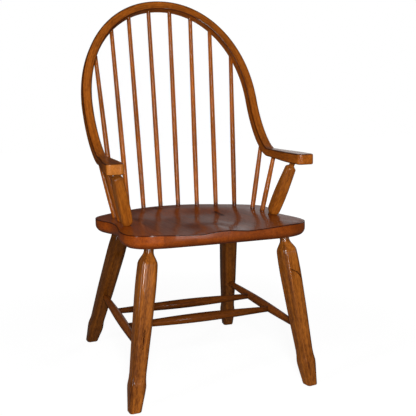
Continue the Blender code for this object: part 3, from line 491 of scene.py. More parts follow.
def square_stick(name, chamfer, line, downward=()):
    """A planed square stick along Z, drawn out up and then down.

    Its rings are (distance, half thickness, how round).
    """
    start_on_nothing()
    first, half, _ = line[0]
    bpy.ops.mesh.primitive_plane_add(size=2 * half, location=(0, 0, first))
    stick = bpy.context.active_object
    stick.name = name
    bpy.ops.object.transform_apply(location=True, rotation=True, scale=True)
    bpy.ops.object.mode_set(mode="EDIT")
    bpy.ops.mesh.select_all(action="SELECT")
    bpy.ops.mesh.bevel(offset=chamfer, offset_type="OFFSET", segments=3, profile=0.42, affect="VERTICES")
    bpy.ops.mesh.select_mode(type="EDGE")
    edit = bmesh.from_edit_mesh(stick.data)
    longest = max(edge.calc_length() for edge in edit.edges)
    for edge in edit.edges:
        edge.select = edge.calc_length() > 0.9 * longest
    bmesh.update_edit_mesh(stick.data)
    bpy.ops.mesh.subdivide(number_cuts=6)
    bpy.ops.mesh.select_mode(type="FACE")
    bpy.ops.mesh.select_all(action="SELECT")
    for rings in (line, (line[0], *downward)):
        pick_faces(stick, lambda face: abs(face.calc_center_median().z - first) < 0.00001)
        roundness = 0.0
        for (low, _, _), (high, half, wanted) in zip(rings, rings[1:]):
            bpy.ops.mesh.extrude_region_move(TRANSFORM_OT_translate={"value": (0, 0, high - low)})
            if wanted > roundness:
                bpy.ops.transform.tosphere(value=(wanted - roundness) / (1 - roundness))
                roundness = wanted
            edit = bmesh.from_edit_mesh(stick.data)
            reach = max(abs(vert.co.x) for vert in edit.verts if vert.select)
            bpy.ops.transform.resize(value=(half / reach, half / reach, 1), center_override=(0, 0, high))
    bpy.ops.mesh.select_all(action="SELECT")
    bpy.ops.mesh.normals_make_consistent(inside=False)
    bpy.ops.object.mode_set(mode="OBJECT")
    return stick


def on_planed_edge(co):
    """1 on the planed edges of a square stick along Z, 0 on its four faces."""
    near, far = sorted((abs(co.x), abs(co.y)))
    return rise(near / max(far, 0.0001), 0.74, 0.80)


def leg_line(length):
    """The leg's rings from below the floor, where it is sawn off, up into the seat."""
    neck = length - LEG_NECK_LENGTH
    shoulder = neck - LEG_SHOULDER_LENGTH
    full = length - LEG_FULL_BELOW
    line = [(-LEG_SPARE, 0.0133, 0.0)]
    line += [(distance, half, 0.0) for distance, half in LEG_LINE if distance < full - 0.03]
    line += [
        (full - 0.030, 0.0240, 0.0),
        (full, LEG_HALF, 0.0),
        (full + 0.027, blend_of(LEG_SHOULDER_HALF, LEG_HALF, 0.7), 0.0),
        (shoulder - 0.010, blend_of(LEG_SHOULDER_HALF, LEG_HALF, 0.2), 0.0),
        (shoulder, LEG_SHOULDER_HALF, 0.04),
    ]
    for share, left, wanted in LEG_SHOULDER_LINE:
        half = blend_of(LEG_NECK, LEG_SHOULDER_HALF, left)
        line.append((blend_of(shoulder, neck, share), half, wanted))
    line += [(length - 0.004, LEG_NECK, 1.0), (length + 0.004, LEG_NECK, 1.0)]
    return line


def leg_ends(side, foot, top):
    """Middle of a leg on the floor and under the seat."""
    return Vector((side * foot[0], foot[1], 0.0)), on_seat(side * top[0], top[1], below=SEAT_THICK)


LEG_LIGHT, LEG_SHADOW = (0.42, 0.128, 0.015), (0.10, 0.024, 0.003)

for index, (name, side, foot, top, turn, tone) in enumerate(LEGS):
    foot, top = leg_ends(side, foot, top)
    length = (top - foot).length
    leg = square_stick(name + "_planed", LEG_CHAMFER, leg_line(length))
    neck_at = length - LEG_NECK_LENGTH
    plank_at = Vector((0.31 * index, 0.17 * index, 0.0))
    # Glaze and painted shade on the planed edges, and a darker neck.
    grain_glaze_and_shade(
        leg,
        lambda co: co + plank_at,
        lambda co: max(0.5 * on_planed_edge(co), 0.5 * rise(co.z, neck_at - 0.006, neck_at + 0.008)),
    )
    leg.data.transform(set_along(foot, top, radians(turn)))
    bpy.ops.object.mode_set(mode="EDIT")
    bpy.ops.mesh.select_all(action="SELECT")
    bpy.ops.mesh.bisect(plane_co=(0, 0, 0), plane_no=(0, 0, -1), clear_outer=True, use_fill=True)
    pick_faces(leg, lambda face: face.normal.z < -0.99 and face.calc_center_median().z < 0.0001)
    bpy.ops.mesh.region_to_loop()
    bpy.ops.mesh.bevel(offset=FOOT_EDGE, segments=3, affect="EDGES")
    bpy.ops.object.mode_set(mode="OBJECT")
    for vert in leg.data.vertices:
        vert.co.z = max(vert.co.z, 0.0)
    cracks = [
        (Vector(a) + plank_at, Vector(b) + plank_at, width) for a, b, width in LEG_CRACKS.get(name, ())
    ]
    # The tone darkens the back legs' stain with painted shade from the seat above them.
    stains_with_shade = (tuple(part * tone for part in stain) for stain in (LEG_SHADOW, LEG_LIGHT))
    finish_piece(leg, lacquered_oak(name + "_stain", *stains_with_shade, 1.25, cracks=cracks), "posts_and_legs", name)


# The side stretchers: turned bars that swell in the middle, each between a front and a
# back leg, the back end a little higher. The two cross stretchers join them.
SIDE_BAR = (0.0082, 0.0128)
CROSS_BAR = (0.0080, 0.0135)
BAR_SWELL = 1.3
SIDE_BAR_FRONT_Z, SIDE_BAR_BACK_Z = 0.161, 0.172
SIDE_BAR_FRONT_SUNK, SIDE_BAR_BACK_SUNK = 0.0063, 0.0066
SIDE_BAR_GLAZE = 0.0145
CROSS_BARS_Y = (("cross_stretcher_front", -0.100), ("cross_stretcher_back", 0.040))
CROSS_BAR_SUNK = 0.008
CROSS_BAR_GLAZE = 0.008


def turned_bar(name, line):
    """A bar from the lathe along Z, from rings of (distance, radius)."""
    start_on_nothing()
    first, radius = line[0]
    bpy.ops.mesh.primitive_circle_add(vertices=32, radius=radius, fill_type="NGON", location=(0, 0, first))
    bar = bpy.context.active_object
    bar.name = name
    bpy.ops.object.transform_apply(location=True, rotation=True, scale=True)
    bpy.ops.object.mode_set(mode="EDIT")
    bpy.ops.mesh.select_all(action="SELECT")
    for (low, before), (high, radius) in zip(line, line[1:]):
        bpy.ops.mesh.extrude_region_move(TRANSFORM_OT_translate={"value": (0, 0, high - low)})
        bpy.ops.transform.resize(value=(radius / before, radius / before, 1), center_override=(0, 0, high))
    bpy.ops.mesh.select_all(action="SELECT")
    bpy.ops.mesh.normals_make_consistent(inside=False)
    bpy.ops.object.mode_set(mode="OBJECT")
    return bar


def swelling(length, radii):
    """The rings of a bar that swells from both ends to its middle."""
    end, middle = radii
    steps = 28
    rings = []
    for k in range(steps + 1):
        radius = blend_of(end, middle, sin(pi * k / steps) ** BAR_SWELL)
        rings.append((length * k / steps, radius))
    return rings


def at_height(foot, top, height):
    """Where a leg's middle line is at this height."""
    return foot + (top - foot) * (height / top.z)


def fit_bar(name, start, end, radii, seed, glaze_ends, stain):
    """A stretcher between two sockets, with the glaze that gathers where it enters them."""
    length = (end - start).length
    bar = turned_bar(name + "_turned", swelling(length, radii))
    grain_glaze_and_shade(
        bar,
        lambda co: (co.x + 0.23 * seed, co.y + 0.41 * seed, co.z),
        lambda co: 0.8 * (1 - rise(min(co.z, length - co.z), glaze_ends, glaze_ends + 0.012)),
    )
    bar.data.transform(set_along(start, end))
    finish_piece(bar, stain, "posts_and_legs", name)


SIDE_STAIN = lacquered_oak(
    "side_stretcher_stain", (0.08, 0.019, 0.003), (0.28, 0.074, 0.009), 1.3, lacquer=0.25
)
# The cross stretchers get a darker stain: painted shade from the seat above them.
CROSS_STAIN_AND_SHADE = lacquered_oak(
    "cross_stretcher_stain", (0.05, 0.012, 0.002), (0.16, 0.042, 0.005), 1.3, lacquer=0.12
)
side_lines = {}
for index, (side, word) in enumerate(((-1, "left"), (1, "right"))):
    front = at_height(*leg_ends(side, FRONT_FOOT, FRONT_TOP), SIDE_BAR_FRONT_Z)
    back = at_height(*leg_ends(side, BACK_FOOT, BACK_TOP), SIDE_BAR_BACK_Z)
    way = (back - front).normalized()
    side_lines[side] = (front + way * SIDE_BAR_FRONT_SUNK, back - way * SIDE_BAR_BACK_SUNK)
    fit_bar(f"side_stretcher_{word}", *side_lines[side], SIDE_BAR, index + 5, SIDE_BAR_GLAZE, SIDE_STAIN)
for index, (name, y) in enumerate(CROSS_BARS_Y):
    ends = []
    for side in (-1, 1):
        front, back = side_lines[side]
        share = (y - front.y) / (back.y - front.y)
        middle = front + (back - front) * share
        radius = blend_of(*SIDE_BAR, sin(pi * share) ** BAR_SWELL)
        ends.append(middle - Vector((side, 0, 0)) * (radius - CROSS_BAR_SUNK))
    fit_bar(name, *ends, CROSS_BAR, index + 8, CROSS_BAR_GLAZE, CROSS_STAIN_AND_SHADE)


# The bow: one straight-grained strip, steamed and bent round a form into the hoop of
# the back, then bent forward on each side into an arm that thins and then grows again
# into a broad hand rest. Glaze and painted shade lie along its crisp edges.
RAIL_DEEP = 0.0275
ARM_DEEP = 0.0235
HAND_DEEP = 0.0287
RAIL_WIDE_TOP = 0.026
RAIL_WIDE_SIDE = 0.0285
RAIL_CORNER = 0.0038
HOOP_TOP_Z = 1.0667
HOOP_LEAN = radians(22.3)
HOOP_HALF = 0.271
HOOP_ARC_HEIGHT = 0.331
HOOP_REACH = HOOP_HALF - RAIL_WIDE_SIDE / 2
HOOP_RISE = HOOP_ARC_HEIGHT - RAIL_WIDE_TOP / 2
HOOP_FULLNESS = 0.96
HOOP_LINE_Y = 0.066
ARM_TOP_Z = 0.6315
ARM_MIDDLE_Z = ARM_TOP_Z - ARM_DEEP / 2
BEND_TOP_Z = 0.775
BEND_TOP_REACH = 0.110
BEND_PULL_Y = 0.0
BEND_FRONT_Y = -0.030
BEND_DRAW_IN = 0.004
HAND_FRONT_Y = -0.239
HAND_FULL_LENGTH = 0.050
HAND_FULL_Y = HAND_FRONT_Y + HAND_FULL_LENGTH
HAND_FLARE = 0.165
HAND_WIDE = 0.0475
HAND_OUTSET = 0.0074
HAND_CORNERS = (0.013, 0.011)
END_EASE = 0.003
HOOP_STEPS = 40
BEND_STEPS = 26
ARM_STEPS = 15
HAND_STEPS = (1.0, 0.85, 0.7, 0.56, 0.44, 0.33, 0.24, 0.17, 0.11, 0.06, 0.03, 0.01, 0.0)
UP_HOOP = Vector((0, sin(HOOP_LEAN), cos(HOOP_LEAN)))
HOOP_FOOT = Vector((HOOP_REACH, HOOP_LINE_Y, ARM_MIDDLE_Z))
HOOP_RUN = (HOOP_TOP_Z - ARM_MIDDLE_Z) / cos(HOOP_LEAN) - RAIL_WIDE_TOP / 2 - HOOP_RISE
BEND_RUN = (BEND_TOP_Z - ARM_MIDDLE_Z) / cos(HOOP_LEAN)
BEND_PULLS = (
    HOOP_FOOT + UP_HOOP * BEND_RUN,
    HOOP_FOOT + UP_HOOP * (BEND_RUN - BEND_TOP_REACH),
    Vector((HOOP_REACH, BEND_PULL_Y, ARM_MIDDLE_Z)),
    Vector((HOOP_REACH, BEND_FRONT_Y, ARM_MIDDLE_Z)),
)


def rail_deep(y):
    arm = blend_of(RAIL_DEEP, ARM_DEEP, rise(y, HOOP_LINE_Y, BEND_FRONT_Y))
    return blend_of(arm, HAND_DEEP, rise(y, BEND_FRONT_Y, HAND_FULL_Y))


def arm_line(y):
    """Middle of the level arm; its top stays level."""
    draw_in = BEND_DRAW_IN * rise(y, BEND_PULLS[0].y, BEND_FRONT_Y)
    outwards = (HAND_OUTSET + BEND_DRAW_IN) * rise(y, BEND_FRONT_Y, HAND_FRONT_Y)
    return Vector((HOOP_REACH - draw_in + outwards, y, ARM_TOP_Z - rail_deep(y) / 2))


def arm_wide(y):
    return blend_of(RAIL_WIDE_SIDE, HAND_WIDE, rise(y, HAND_FULL_Y + HAND_FLARE, HAND_FULL_Y))


def hoop_place(angle):
    up_share = max(cos(angle), 0.0) ** HOOP_FULLNESS
    place = HOOP_FOOT + UP_HOOP * (HOOP_RUN + HOOP_RISE * up_share)
    place.x = HOOP_REACH * sin(angle) ** HOOP_FULLNESS
    return place


def hoop_out(angle):
    """The way out of the hoop, square to its line."""
    power = 2 - HOOP_FULLNESS
    across = Vector((HOOP_RISE * sin(angle) ** power, 0, 0))
    return (across + UP_HOOP * (HOOP_REACH * max(cos(angle), 0.0) ** power)).normalized()


def hoop_half(angle):
    return blend_of(RAIL_WIDE_TOP, RAIL_WIDE_SIDE, sin(angle) ** 2) / 2


def bend_place(share):
    a, b, c, d = BEND_PULLS
    rest = 1 - share
    place = a * rest**3 + b * (3 * rest**2 * share) + c * (3 * rest * share**2) + d * share**3
    place.x = arm_line(place.y).x
    return place


def pulled_in(ahead, radius):
    """How far an edge of this radius has drawn in, this far from the strip's end."""
    return radius - sqrt(radius * radius - max(radius - ahead, 0.0) ** 2)


def rail_places():
    """Each ring of the strip, from the top of the hoop to the end of the hand.

    A ring is its middle, the way outwards, the way ahead, its inner and outer reach, and its depth.
    """
    front_of_hoop = Vector((0, -cos(HOOP_LEAN), sin(HOOP_LEAN)))
    sideways = Vector((1, 0, 0))
    places = []
    for step in range(HOOP_STEPS + 1):
        angle = radians(90) * step / HOOP_STEPS
        half = hoop_half(angle)
        places.append((hoop_place(angle), hoop_out(angle), front_of_hoop, half, half, RAIL_DEEP))
    half = RAIL_WIDE_SIDE / 2
    for share in (0.33, 0.67):
        middle = HOOP_FOOT + UP_HOOP * blend_of(HOOP_RUN, BEND_RUN, share)
        places.append((middle, sideways, front_of_hoop, half, half, RAIL_DEEP))
    a, b, c, d = BEND_PULLS
    for step in range(BEND_STEPS + 1):
        share = step / BEND_STEPS
        way = (b - a) * (1 - share) ** 2 + (c - b) * (2 * share * (1 - share)) + (d - c) * share**2
        middle = bend_place(share)
        half = arm_wide(middle.y) / 2
        places.append((middle, sideways, way.normalized().cross(sideways), half, half, rail_deep(middle.y)))
    corner_y = HAND_FRONT_Y + max(HAND_CORNERS)
    arm_ys = [blend_of(BEND_FRONT_Y, corner_y, step / ARM_STEPS) for step in range(1, ARM_STEPS)]
    for share in HAND_STEPS:
        arm_ys.append(blend_of(HAND_FRONT_Y, corner_y, share))
    for y in arm_ys:
        ahead = y - HAND_FRONT_Y
        inner, outer = (arm_wide(y) / 2 - pulled_in(ahead, radius) for radius in HAND_CORNERS)
        deep = rail_deep(y) - 2 * pulled_in(ahead, END_EASE)
        places.append((arm_line(y), sideways, Vector((0, 0, 1)), inner, outer, deep))
    return places


def stretched(value, old, new):
    """Moves a point of the section out as a flat grows, without stretching the round corners."""
    flat = old - RAIL_CORNER
    if abs(value) <= flat + 0.000001:
        return value * (new - RAIL_CORNER) / flat
    return value + (new - old if value > 0 else old - new)


start_on_nothing()
bpy.ops.mesh.primitive_plane_add(size=1.0)
bow = bpy.context.active_object
bow.name = "bow_bent"
bpy.ops.object.mode_set(mode="EDIT")
bpy.ops.mesh.select_all(action="SELECT")
bpy.ops.transform.resize(value=(RAIL_WIDE_TOP, RAIL_DEEP, 1))
bpy.ops.mesh.bevel(offset=RAIL_CORNER, offset_type="OFFSET", segments=5, affect="VERTICES")
bpy.ops.mesh.select_mode(type="EDGE")
edit = bmesh.from_edit_mesh(bow.data)
for edge in edit.edges:
    edge.select = edge.calc_length() > RAIL_CORNER * 2
bmesh.update_edit_mesh(bow.data)
bpy.ops.mesh.subdivide(number_cuts=9)
bpy.ops.mesh.select_mode(type="FACE")
bpy.ops.mesh.select_all(action="SELECT")
before = Matrix.Identity(4)
old = (RAIL_WIDE_TOP / 2, RAIL_WIDE_TOP / 2, RAIL_DEEP / 2)
places = rail_places()
for index, (middle, out, ahead, inner, outer, deep) in enumerate(places):
    if index:
        bpy.ops.mesh.extrude_region_move()
    here = Matrix.Translation(middle) @ Matrix((out, ahead, out.cross(ahead))).transposed().to_4x4()
    back = before.inverted()
    edit = bmesh.from_edit_mesh(bow.data)
    for vert in edit.verts:
        if vert.select:
            place = back @ vert.co
            was, now = (old[1], outer) if place.x > 0 else (old[0], inner)
            place.x = stretched(place.x, was, now)
            place.y = stretched(place.y, old[2], deep / 2)
            vert.co = here @ place
    bmesh.update_edit_mesh(bow.data)
    before, old = here, (inner, outer, deep / 2)
pick_faces(bow, lambda face: abs(face.calc_center_median().x) < 0.0001 and abs(face.normal.x) > 0.9)
bpy.ops.mesh.delete(type="FACE")
bpy.ops.object.mode_set(mode="OBJECT")
bow_runs = [0.0]
for (a, *_), (b, *_) in zip(places, places[1:]):
    bow_runs.append(bow_runs[-1] + (b - a).length)


def nearest_ring(co):
    return min(range(len(places)), key=lambda k: (places[k][0] - co).length_squared)


def plank_of_bow(co):
    """Where a point of the bent strip was in the straight plank."""
    ring = nearest_ring(co)
    middle, out, ahead, *_ = places[ring]
    return ((co - middle).dot(out) + 0.7, (co - middle).dot(ahead) + 0.2, bow_runs[ring])


def bow_glaze_and_shade(co):
    """Dark along the four rounded edges, and a finer line round the cut end: glaze, with painted shade on
    the rounding.
    """
    middle, out, ahead, inner, outer, deep = places[nearest_ring(co)]
    across, depth = (co - middle).dot(out), abs((co - middle).dot(ahead))
    from_side = (outer if across > 0 else inner) - abs(across)
    near = max(from_side, deep / 2 - depth)
    along = 0.9 * rise(near, RAIL_CORNER * 1.05, RAIL_CORNER * 0.7)
    round_end = 0.8 * rise(HAND_DEEP / 2 - depth, 0.0026, 0.0014)
    return blend_of(along, round_end, rise(co.y, HAND_FRONT_Y + 0.014, HAND_FRONT_Y + 0.007))


grain_glaze_and_shade(bow, plank_of_bow, bow_glaze_and_shade)
other_half = bow.modifiers.new("other_half", "MIRROR")
other_half.merge_threshold = 0.0001
bpy.ops.object.modifier_apply(modifier="other_half")
bpy.ops.object.mode_set(mode="EDIT")
bpy.ops.mesh.select_all(action="SELECT")
bpy.ops.mesh.normals_make_consistent(inside=False)
bpy.ops.object.mode_set(mode="OBJECT")
BOW_STAIN_AND_SHADE = lacquered_oak("bow_stain", (0.15, 0.036, 0.004), (0.45, 0.122, 0.012), 1.3, lacquer=0.45)
finish_piece(bow, BOW_STAIN_AND_SHADE, "bow", "bow_and_arms", sharp=50.0)
# The left hand's end, where it faces the front, is painted lighter: painted light from the lamps at the
# front left.
END_STAIN_AND_PAINTED_LIGHT = lacquered_oak(
    "hand_end_stain", (0.25, 0.072, 0.010), (0.54, 0.185, 0.030), 1.1, lacquer=0.25
)
bow.data.materials.append(END_STAIN_AND_PAINTED_LIGHT)
end_reach = HAND_FRONT_Y + max(HAND_CORNERS)
for face in bow.data.polygons:
    if face.center.x < 0 and face.normal.y < -0.45 and face.center.y < end_reach:
        face.material_index = 1


# The spindles: slim turned sticks, thickest a third of the way up and thinner towards the
# bow. Eight stand in a curved row behind the sitter, and two under each arm. Glaze lies
# in the corner where each one enters the seat and the bow.
SPINDLE_RADII = (0.0067, 0.0076, 0.0061)
ARM_SPINDLE_RADII = (0.0067, 0.0074, 0.0060)
SPINDLE_FEET = (0.0285, 0.0865, 0.1410, 0.1900)
SPINDLE_HEADS = (0.0335, 0.0985, 0.1568, 0.2155)
ROW_BACK_Y = 0.177
ROW_RADIUS = 0.290
SPINDLE_SUNK = 0.006
ARM_SPINDLES = ((0.212, 0.014, 0.040), (0.2135, -0.054, -0.054))


def spindle_line(length, radii):
    """The rings of a spindle, which goes on a little way into the seat and into the bow."""
    foot, swell, head = radii
    shape = (
        (0.0, foot),
        (0.12, blend_of(foot, swell, 0.6)),
        (0.30, swell),
        (0.55, blend_of(head, swell, 0.72)),
        (0.80, blend_of(head, swell, 0.25)),
        (1.0, head),
    )
    line = [(-SPINDLE_SUNK, foot)]
    steps = 30
    for k in range(steps + 1):
        share = k / steps
        for (low, a), (high, b) in zip(shape, shape[1:]):
            if share <= high + 0.0001:
                line.append((share * length, blend_of(a, b, (share - low) / (high - low))))
                break
    line.append((length + SPINDLE_SUNK, head))
    return line


def fit_spindle(name, foot, head, inside, radii, seed):
    """A spindle from the seat's top to the bow's inner face, which lies this far inside its middle."""
    length = (head - foot).length - inside
    spindle = turned_bar(name + "_turned", spindle_line(length, radii))

    def in_corners(co):
        at_seat = 0.85 * (1 - rise(co.z, 0.001, 0.007))
        at_bow = 0.5 * (1 - rise(length - co.z, 0.001, 0.009))
        return max(at_seat, at_bow)

    grain_glaze_and_shade(
        spindle,
        lambda co: (co.x + 0.19 * seed, co.y + 0.37 * seed, co.z + 0.5 * seed),
        in_corners,
    )
    spindle.data.transform(set_along(foot, head))
    finish_piece(spindle, SPINDLE_STAIN, "spindles", name)


SPINDLE_STAIN = lacquered_oak(
    "spindle_stain", (0.15, 0.036, 0.003), (0.48, 0.120, 0.006), 1.1, lacquer=0.36, polish=0.06
)
for number in range(1, 9):
    across = number - 5 if number > 4 else 4 - number
    side = 1 if number > 4 else -1
    foot_x = side * SPINDLE_FEET[across]
    foot = on_seat(foot_x, ROW_BACK_Y - ROW_RADIUS + sqrt(ROW_RADIUS**2 - foot_x**2))
    low, high = 0.0, radians(90)
    for _ in range(30):
        angle = (low + high) / 2
        if hoop_place(angle).x < SPINDLE_HEADS[across]:
            low = angle
        else:
            high = angle
    head, out = hoop_place(angle), hoop_out(angle)
    head.x *= side
    out.x *= side
    inside = hoop_half(angle) / (head - foot).normalized().dot(out)
    fit_spindle(f"back_spindle_{number}", foot, head, inside, SPINDLE_RADII, number)


def over_arm(y):
    """Middle of the strip above this y, on the arm or in the bend."""
    if y <= BEND_FRONT_Y:
        return arm_line(y)
    return min((bend_place(k / 600) for k in range(601)), key=lambda place: abs(place.y - y))


for side, word in ((-1, "left"), (1, "right")):
    for number, (x, y, head_y) in enumerate(ARM_SPINDLES, 1):
        head = over_arm(head_y)
        head.x *= side
        foot = on_seat(side * x, y)
        inside = (rail_deep(head.y) / 2 + 0.0005) / (head - foot).normalized().z
        seed = 10 + 2 * side + number
        fit_spindle(f"arm_spindle_{word}_{number}", foot, head, inside, ARM_SPINDLE_RADII, seed)


# The arm posts: short square posts with planed edges, drawn in at the foot and again under
# the arm to a thin round neck, leaning outwards and forwards under the hand rests.
POST_FOOT = (0.2115, -0.128)
POST_HEAD_Y = -0.180
POST_HEAD_INSET = 0.011
POST_TURN = radians(8)
POST_FOOT_HALF = 0.0105
POST_BELLY_HALF = 0.0157
POST_SHOULDER_HALF = 0.0132
POST_NECK = 0.0076
POST_NECK_LENGTH = 0.010
POST_SHOULDER_LENGTH = 0.008
POST_CHAMFER = 0.0040
POST_SHOULDER_LINE = (
    (0.18, 0.985, 0.15), (0.36, 0.93, 0.28), (0.52, 0.86, 0.42), (0.66, 0.77, 0.58), (0.78, 0.65, 0.72),
    (0.88, 0.45, 0.85), (0.95, 0.24, 0.95), (1.0, 0.0, 1.0),
)
POST_FOOT_LINE = (
    (0.0165, 0.86, 0.10), (0.0125, 0.78, 0.18), (0.0095, 0.66, 0.30), (0.0070, 0.48, 0.45),
    (0.0050, 0.26, 0.65),
)
POST_STAIN_AND_SHADE = lacquered_oak("post_stain", (0.15, 0.036, 0.004), (0.46, 0.140, 0.014), 1.1, lacquer=0.5)


def post_rings(length):
    """The post's rings from its belly up into the arm, and from its belly down into the seat."""
    neck = length - POST_NECK_LENGTH
    shoulder = neck - POST_SHOULDER_LENGTH
    upward = [(length * 0.36, POST_BELLY_HALF, 0.0)]
    for distance, share, wanted in (
        (length * 0.52, 0.85, 0.0), (length * 0.66, 0.52, 0.0), (shoulder - length * 0.10, 0.2, 0.02),
    ):
        upward.append((distance, blend_of(POST_SHOULDER_HALF, POST_BELLY_HALF, share), wanted))
    upward.append((shoulder, POST_SHOULDER_HALF, 0.08))
    for share, left, wanted in POST_SHOULDER_LINE:
        half = blend_of(POST_NECK, POST_SHOULDER_HALF, left)
        upward.append((blend_of(shoulder, neck, share), half, wanted))
    upward += [(length - 0.003, POST_NECK, 1.0), (length + 0.006, POST_NECK, 1.0)]
    downward = []
    for distance, share, wanted in (
        (length * 0.26, 0.97, 0.02), (length * 0.18, 0.93, 0.05), *POST_FOOT_LINE,
    ):
        downward.append((distance, blend_of(POST_FOOT_HALF, POST_BELLY_HALF, share), wanted))
    downward += [(0.0030, POST_FOOT_HALF, 0.9), (-0.006, POST_FOOT_HALF, 1.0)]
    return upward, downward


for side, word in ((-1, "left"), (1, "right")):
    foot = on_seat(side * POST_FOOT[0], POST_FOOT[1])
    head = over_arm(POST_HEAD_Y)
    head.z -= rail_deep(head.y) / 2
    head.x = side * (head.x - POST_HEAD_INSET)
    length = (head - foot).length
    neck_at = length - POST_NECK_LENGTH
    post = square_stick("arm_post_planed_" + word, POST_CHAMFER, *post_rings(length))

    # Glaze and painted shade on the planed edges, glaze where it enters the seat, and a darker neck under
    # the arm.
    def on_post(co):
        at_seat = 0.8 * (1 - rise(co.z, 0.002, 0.010))
        at_arm = 0.4 * rise(co.z, neck_at - 0.002, neck_at + 0.004)
        return max(0.35 * on_planed_edge(co), at_seat, at_arm)

    grain_glaze_and_shade(post, lambda co: (co.x + 0.53 * side, co.y + 0.9, co.z), on_post)
    post.data.transform(set_along(foot, head, -side * POST_TURN))
    finish_piece(post, POST_STAIN_AND_SHADE, "posts_and_legs", f"arm_post_{word}")


# The camera stands where the photograph was taken from: low, a little to the chair's
# right-hand side, with a long lens.
VIEW_AZIMUTH = -0.34683
VIEW_HEIGHT = 0.16572
VIEW_ROLL = -0.0137
VIEW_FROM = Vector((-0.72347, -2.1795, 0.84885))
PIXELS = 416
FOCAL_PIXELS = 799.915
ahead_x, ahead_y = -sin(VIEW_AZIMUTH) * cos(VIEW_HEIGHT), cos(VIEW_AZIMUTH) * cos(VIEW_HEIGHT)
look = Vector((ahead_x, ahead_y, -sin(VIEW_HEIGHT)))
level = Vector((cos(VIEW_AZIMUTH), sin(VIEW_AZIMUTH), 0))
upright = level.cross(look)
right = level * cos(VIEW_ROLL) + upright * sin(VIEW_ROLL)
upright = upright * cos(VIEW_ROLL) - level * sin(VIEW_ROLL)
lens = bpy.data.cameras.new("camera")
lens.sensor_width = 36.0
lens.lens = FOCAL_PIXELS / PIXELS * lens.sensor_width
lens.clip_start = 0.05
camera = bpy.data.objects.new("camera", lens)
bpy.context.scene.collection.objects.link(camera)
camera.matrix_world = Matrix.Translation(VIEW_FROM) @ Matrix((right, upright, -look)).transposed().to_4x4()
bpy.context.scene.camera = camera


# The studio: a pale floor and surround that the camera sees as white, three tall narrow
# lamps that draw the highlights down the sticks, and a wide weak one for the far side. The
# lacquer mirrors a dim room, with a paler wall behind the chair and a low bright window.
def soft_lamp(name, place, target, size, watts):
    lamp = bpy.data.lights.new(name, "AREA")
    lamp.shape = "RECTANGLE"
    lamp.size, lamp.size_y = size
    lamp.energy = watts
    stand = bpy.data.objects.new(name, lamp)
    bpy.context.scene.collection.objects.link(stand)
    stand.location = place
    stand.rotation_euler = (Vector(target) - Vector(place)).to_track_quat("-Z", "Y").to_euler()


soft_lamp("left_lamp", (-2.2, -1.2, 1.25), (0, 0, 0.8), (0.32, 2.1), 16)
soft_lamp("front_lamp", (-0.80, -2.75, 1.20), (0, 0, 0.8), (0.42, 1.7), 76)
soft_lamp("low_lamp", (0.66, -2.75, 0.55), (0, 0, 0.8), (0.14, 1.0), 8)
soft_lamp("far_lamp", (2.6, 1.7, 1.7), (0, 0, 0.6), (1.4, 1.4), 18)

start_on_nothing()
bpy.ops.mesh.primitive_plane_add(size=14.0, location=(0, 0, 0))
floor = bpy.context.active_object
floor.name = "studio_floor"
paper = bpy.data.materials.new("floor_paper")
paper.use_nodes = True
paper_nodes, paper_links = paper.node_tree.nodes, paper.node_tree.links
paper_shader = paper_nodes["Principled BSDF"]
paper_shader.inputs["Base Color"].default_value = (0.17, 0.17, 0.17, 1.0)
paper_shader.inputs["Roughness"].default_value = 0.9
paper_shader.inputs["Specular IOR Level"].default_value = 0.0
paper_shader.inputs["Emission Color"].default_value = (1.0, 1.0, 1.0, 1.0)
seen = paper_nodes.new("ShaderNodeLightPath")
spot = paper_nodes.new("ShaderNodeTexCoord")
from_middle = paper_nodes.new("ShaderNodeVectorMath")
from_middle.operation = "LENGTH"
paper_links.new(spot.outputs["Object"], from_middle.inputs[0])
whiter = spread_node(paper_nodes, paper_links, from_middle.outputs["Value"], 0.5, 1.9, 0.92, 1.0)
lift = math_node(paper_nodes, paper_links, "MULTIPLY", seen.outputs["Is Camera Ray"], whiter)
paper_links.new(lift, paper_shader.inputs["Emission Strength"])
floor.data.materials.append(paper)

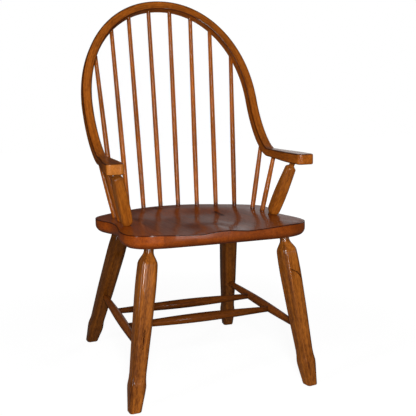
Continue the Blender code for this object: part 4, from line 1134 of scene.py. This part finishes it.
ROOM_LEVEL = 0.08
surround = bpy.data.worlds.new("studio_surround")
bpy.context.scene.world = surround
surround.use_nodes = True
air_nodes, air_links = surround.node_tree.nodes, surround.node_tree.links
sky = air_nodes["Background"]
sky.inputs["Color"].default_value = (1.0, 1.0, 1.0, 1.0)
ray = air_nodes.new("ShaderNodeLightPath")
heading = air_nodes.new("ShaderNodeTexCoord")
axes = air_nodes.new("ShaderNodeSeparateXYZ")
air_links.new(heading.outputs["Generated"], axes.inputs["Vector"])
behind = spread_node(air_nodes, air_links, axes.outputs["Y"], 0.0, 0.9, 0.02, 0.34)
raised = spread_node(air_nodes, air_links, axes.outputs["Z"], 0.06, 0.22, 0.0, 1.0)
behind = math_node(air_nodes, air_links, "MULTIPLY", behind, raised)
lit_part = spread_node(air_nodes, air_links, axes.outputs["X"], 0.265, 0.315, 0.3, 1.0)
behind = math_node(air_nodes, air_links, "MULTIPLY", behind, lit_part)
dim_part = spread_node(air_nodes, air_links, axes.outputs["X"], 0.37, 0.43, 1.0, 0.5)
behind = math_node(air_nodes, air_links, "MULTIPLY", behind, dim_part)
rightwards = spread_node(air_nodes, air_links, axes.outputs["X"], 0.28, 0.42, 0.0, 1.1)
low = spread_node(air_nodes, air_links, axes.outputs["Z"], 0.15, 0.11, 0.0, 1.0)
above_floor = spread_node(air_nodes, air_links, axes.outputs["Z"], 0.03, 0.07, 0.0, 1.0)
window = math_node(air_nodes, air_links, "MULTIPLY", low, above_floor)
window = math_node(air_nodes, air_links, "MULTIPLY", window, rightwards)
behind = math_node(air_nodes, air_links, "ADD", behind, window)
mirrored, seen_by_lens, seen_through = (
    ray.outputs[name] for name in ("Is Glossy Ray", "Is Camera Ray", "Is Transmission Ray")
)
glossy_level = math_node(air_nodes, air_links, "MULTIPLY", mirrored, behind)
not_glossy = math_node(air_nodes, air_links, "SUBTRACT", 1.0, mirrored)
room_level = math_node(air_nodes, air_links, "MULTIPLY", not_glossy, ROOM_LEVEL)
white_to = math_node(air_nodes, air_links, "MAXIMUM", seen_by_lens, seen_through)
dim_level = math_node(air_nodes, air_links, "ADD", glossy_level, room_level)
air_links.new(math_node(air_nodes, air_links, "MAXIMUM", white_to, dim_level), sky.inputs["Strength"])
bpy.context.scene.view_settings.view_transform = "Standard"
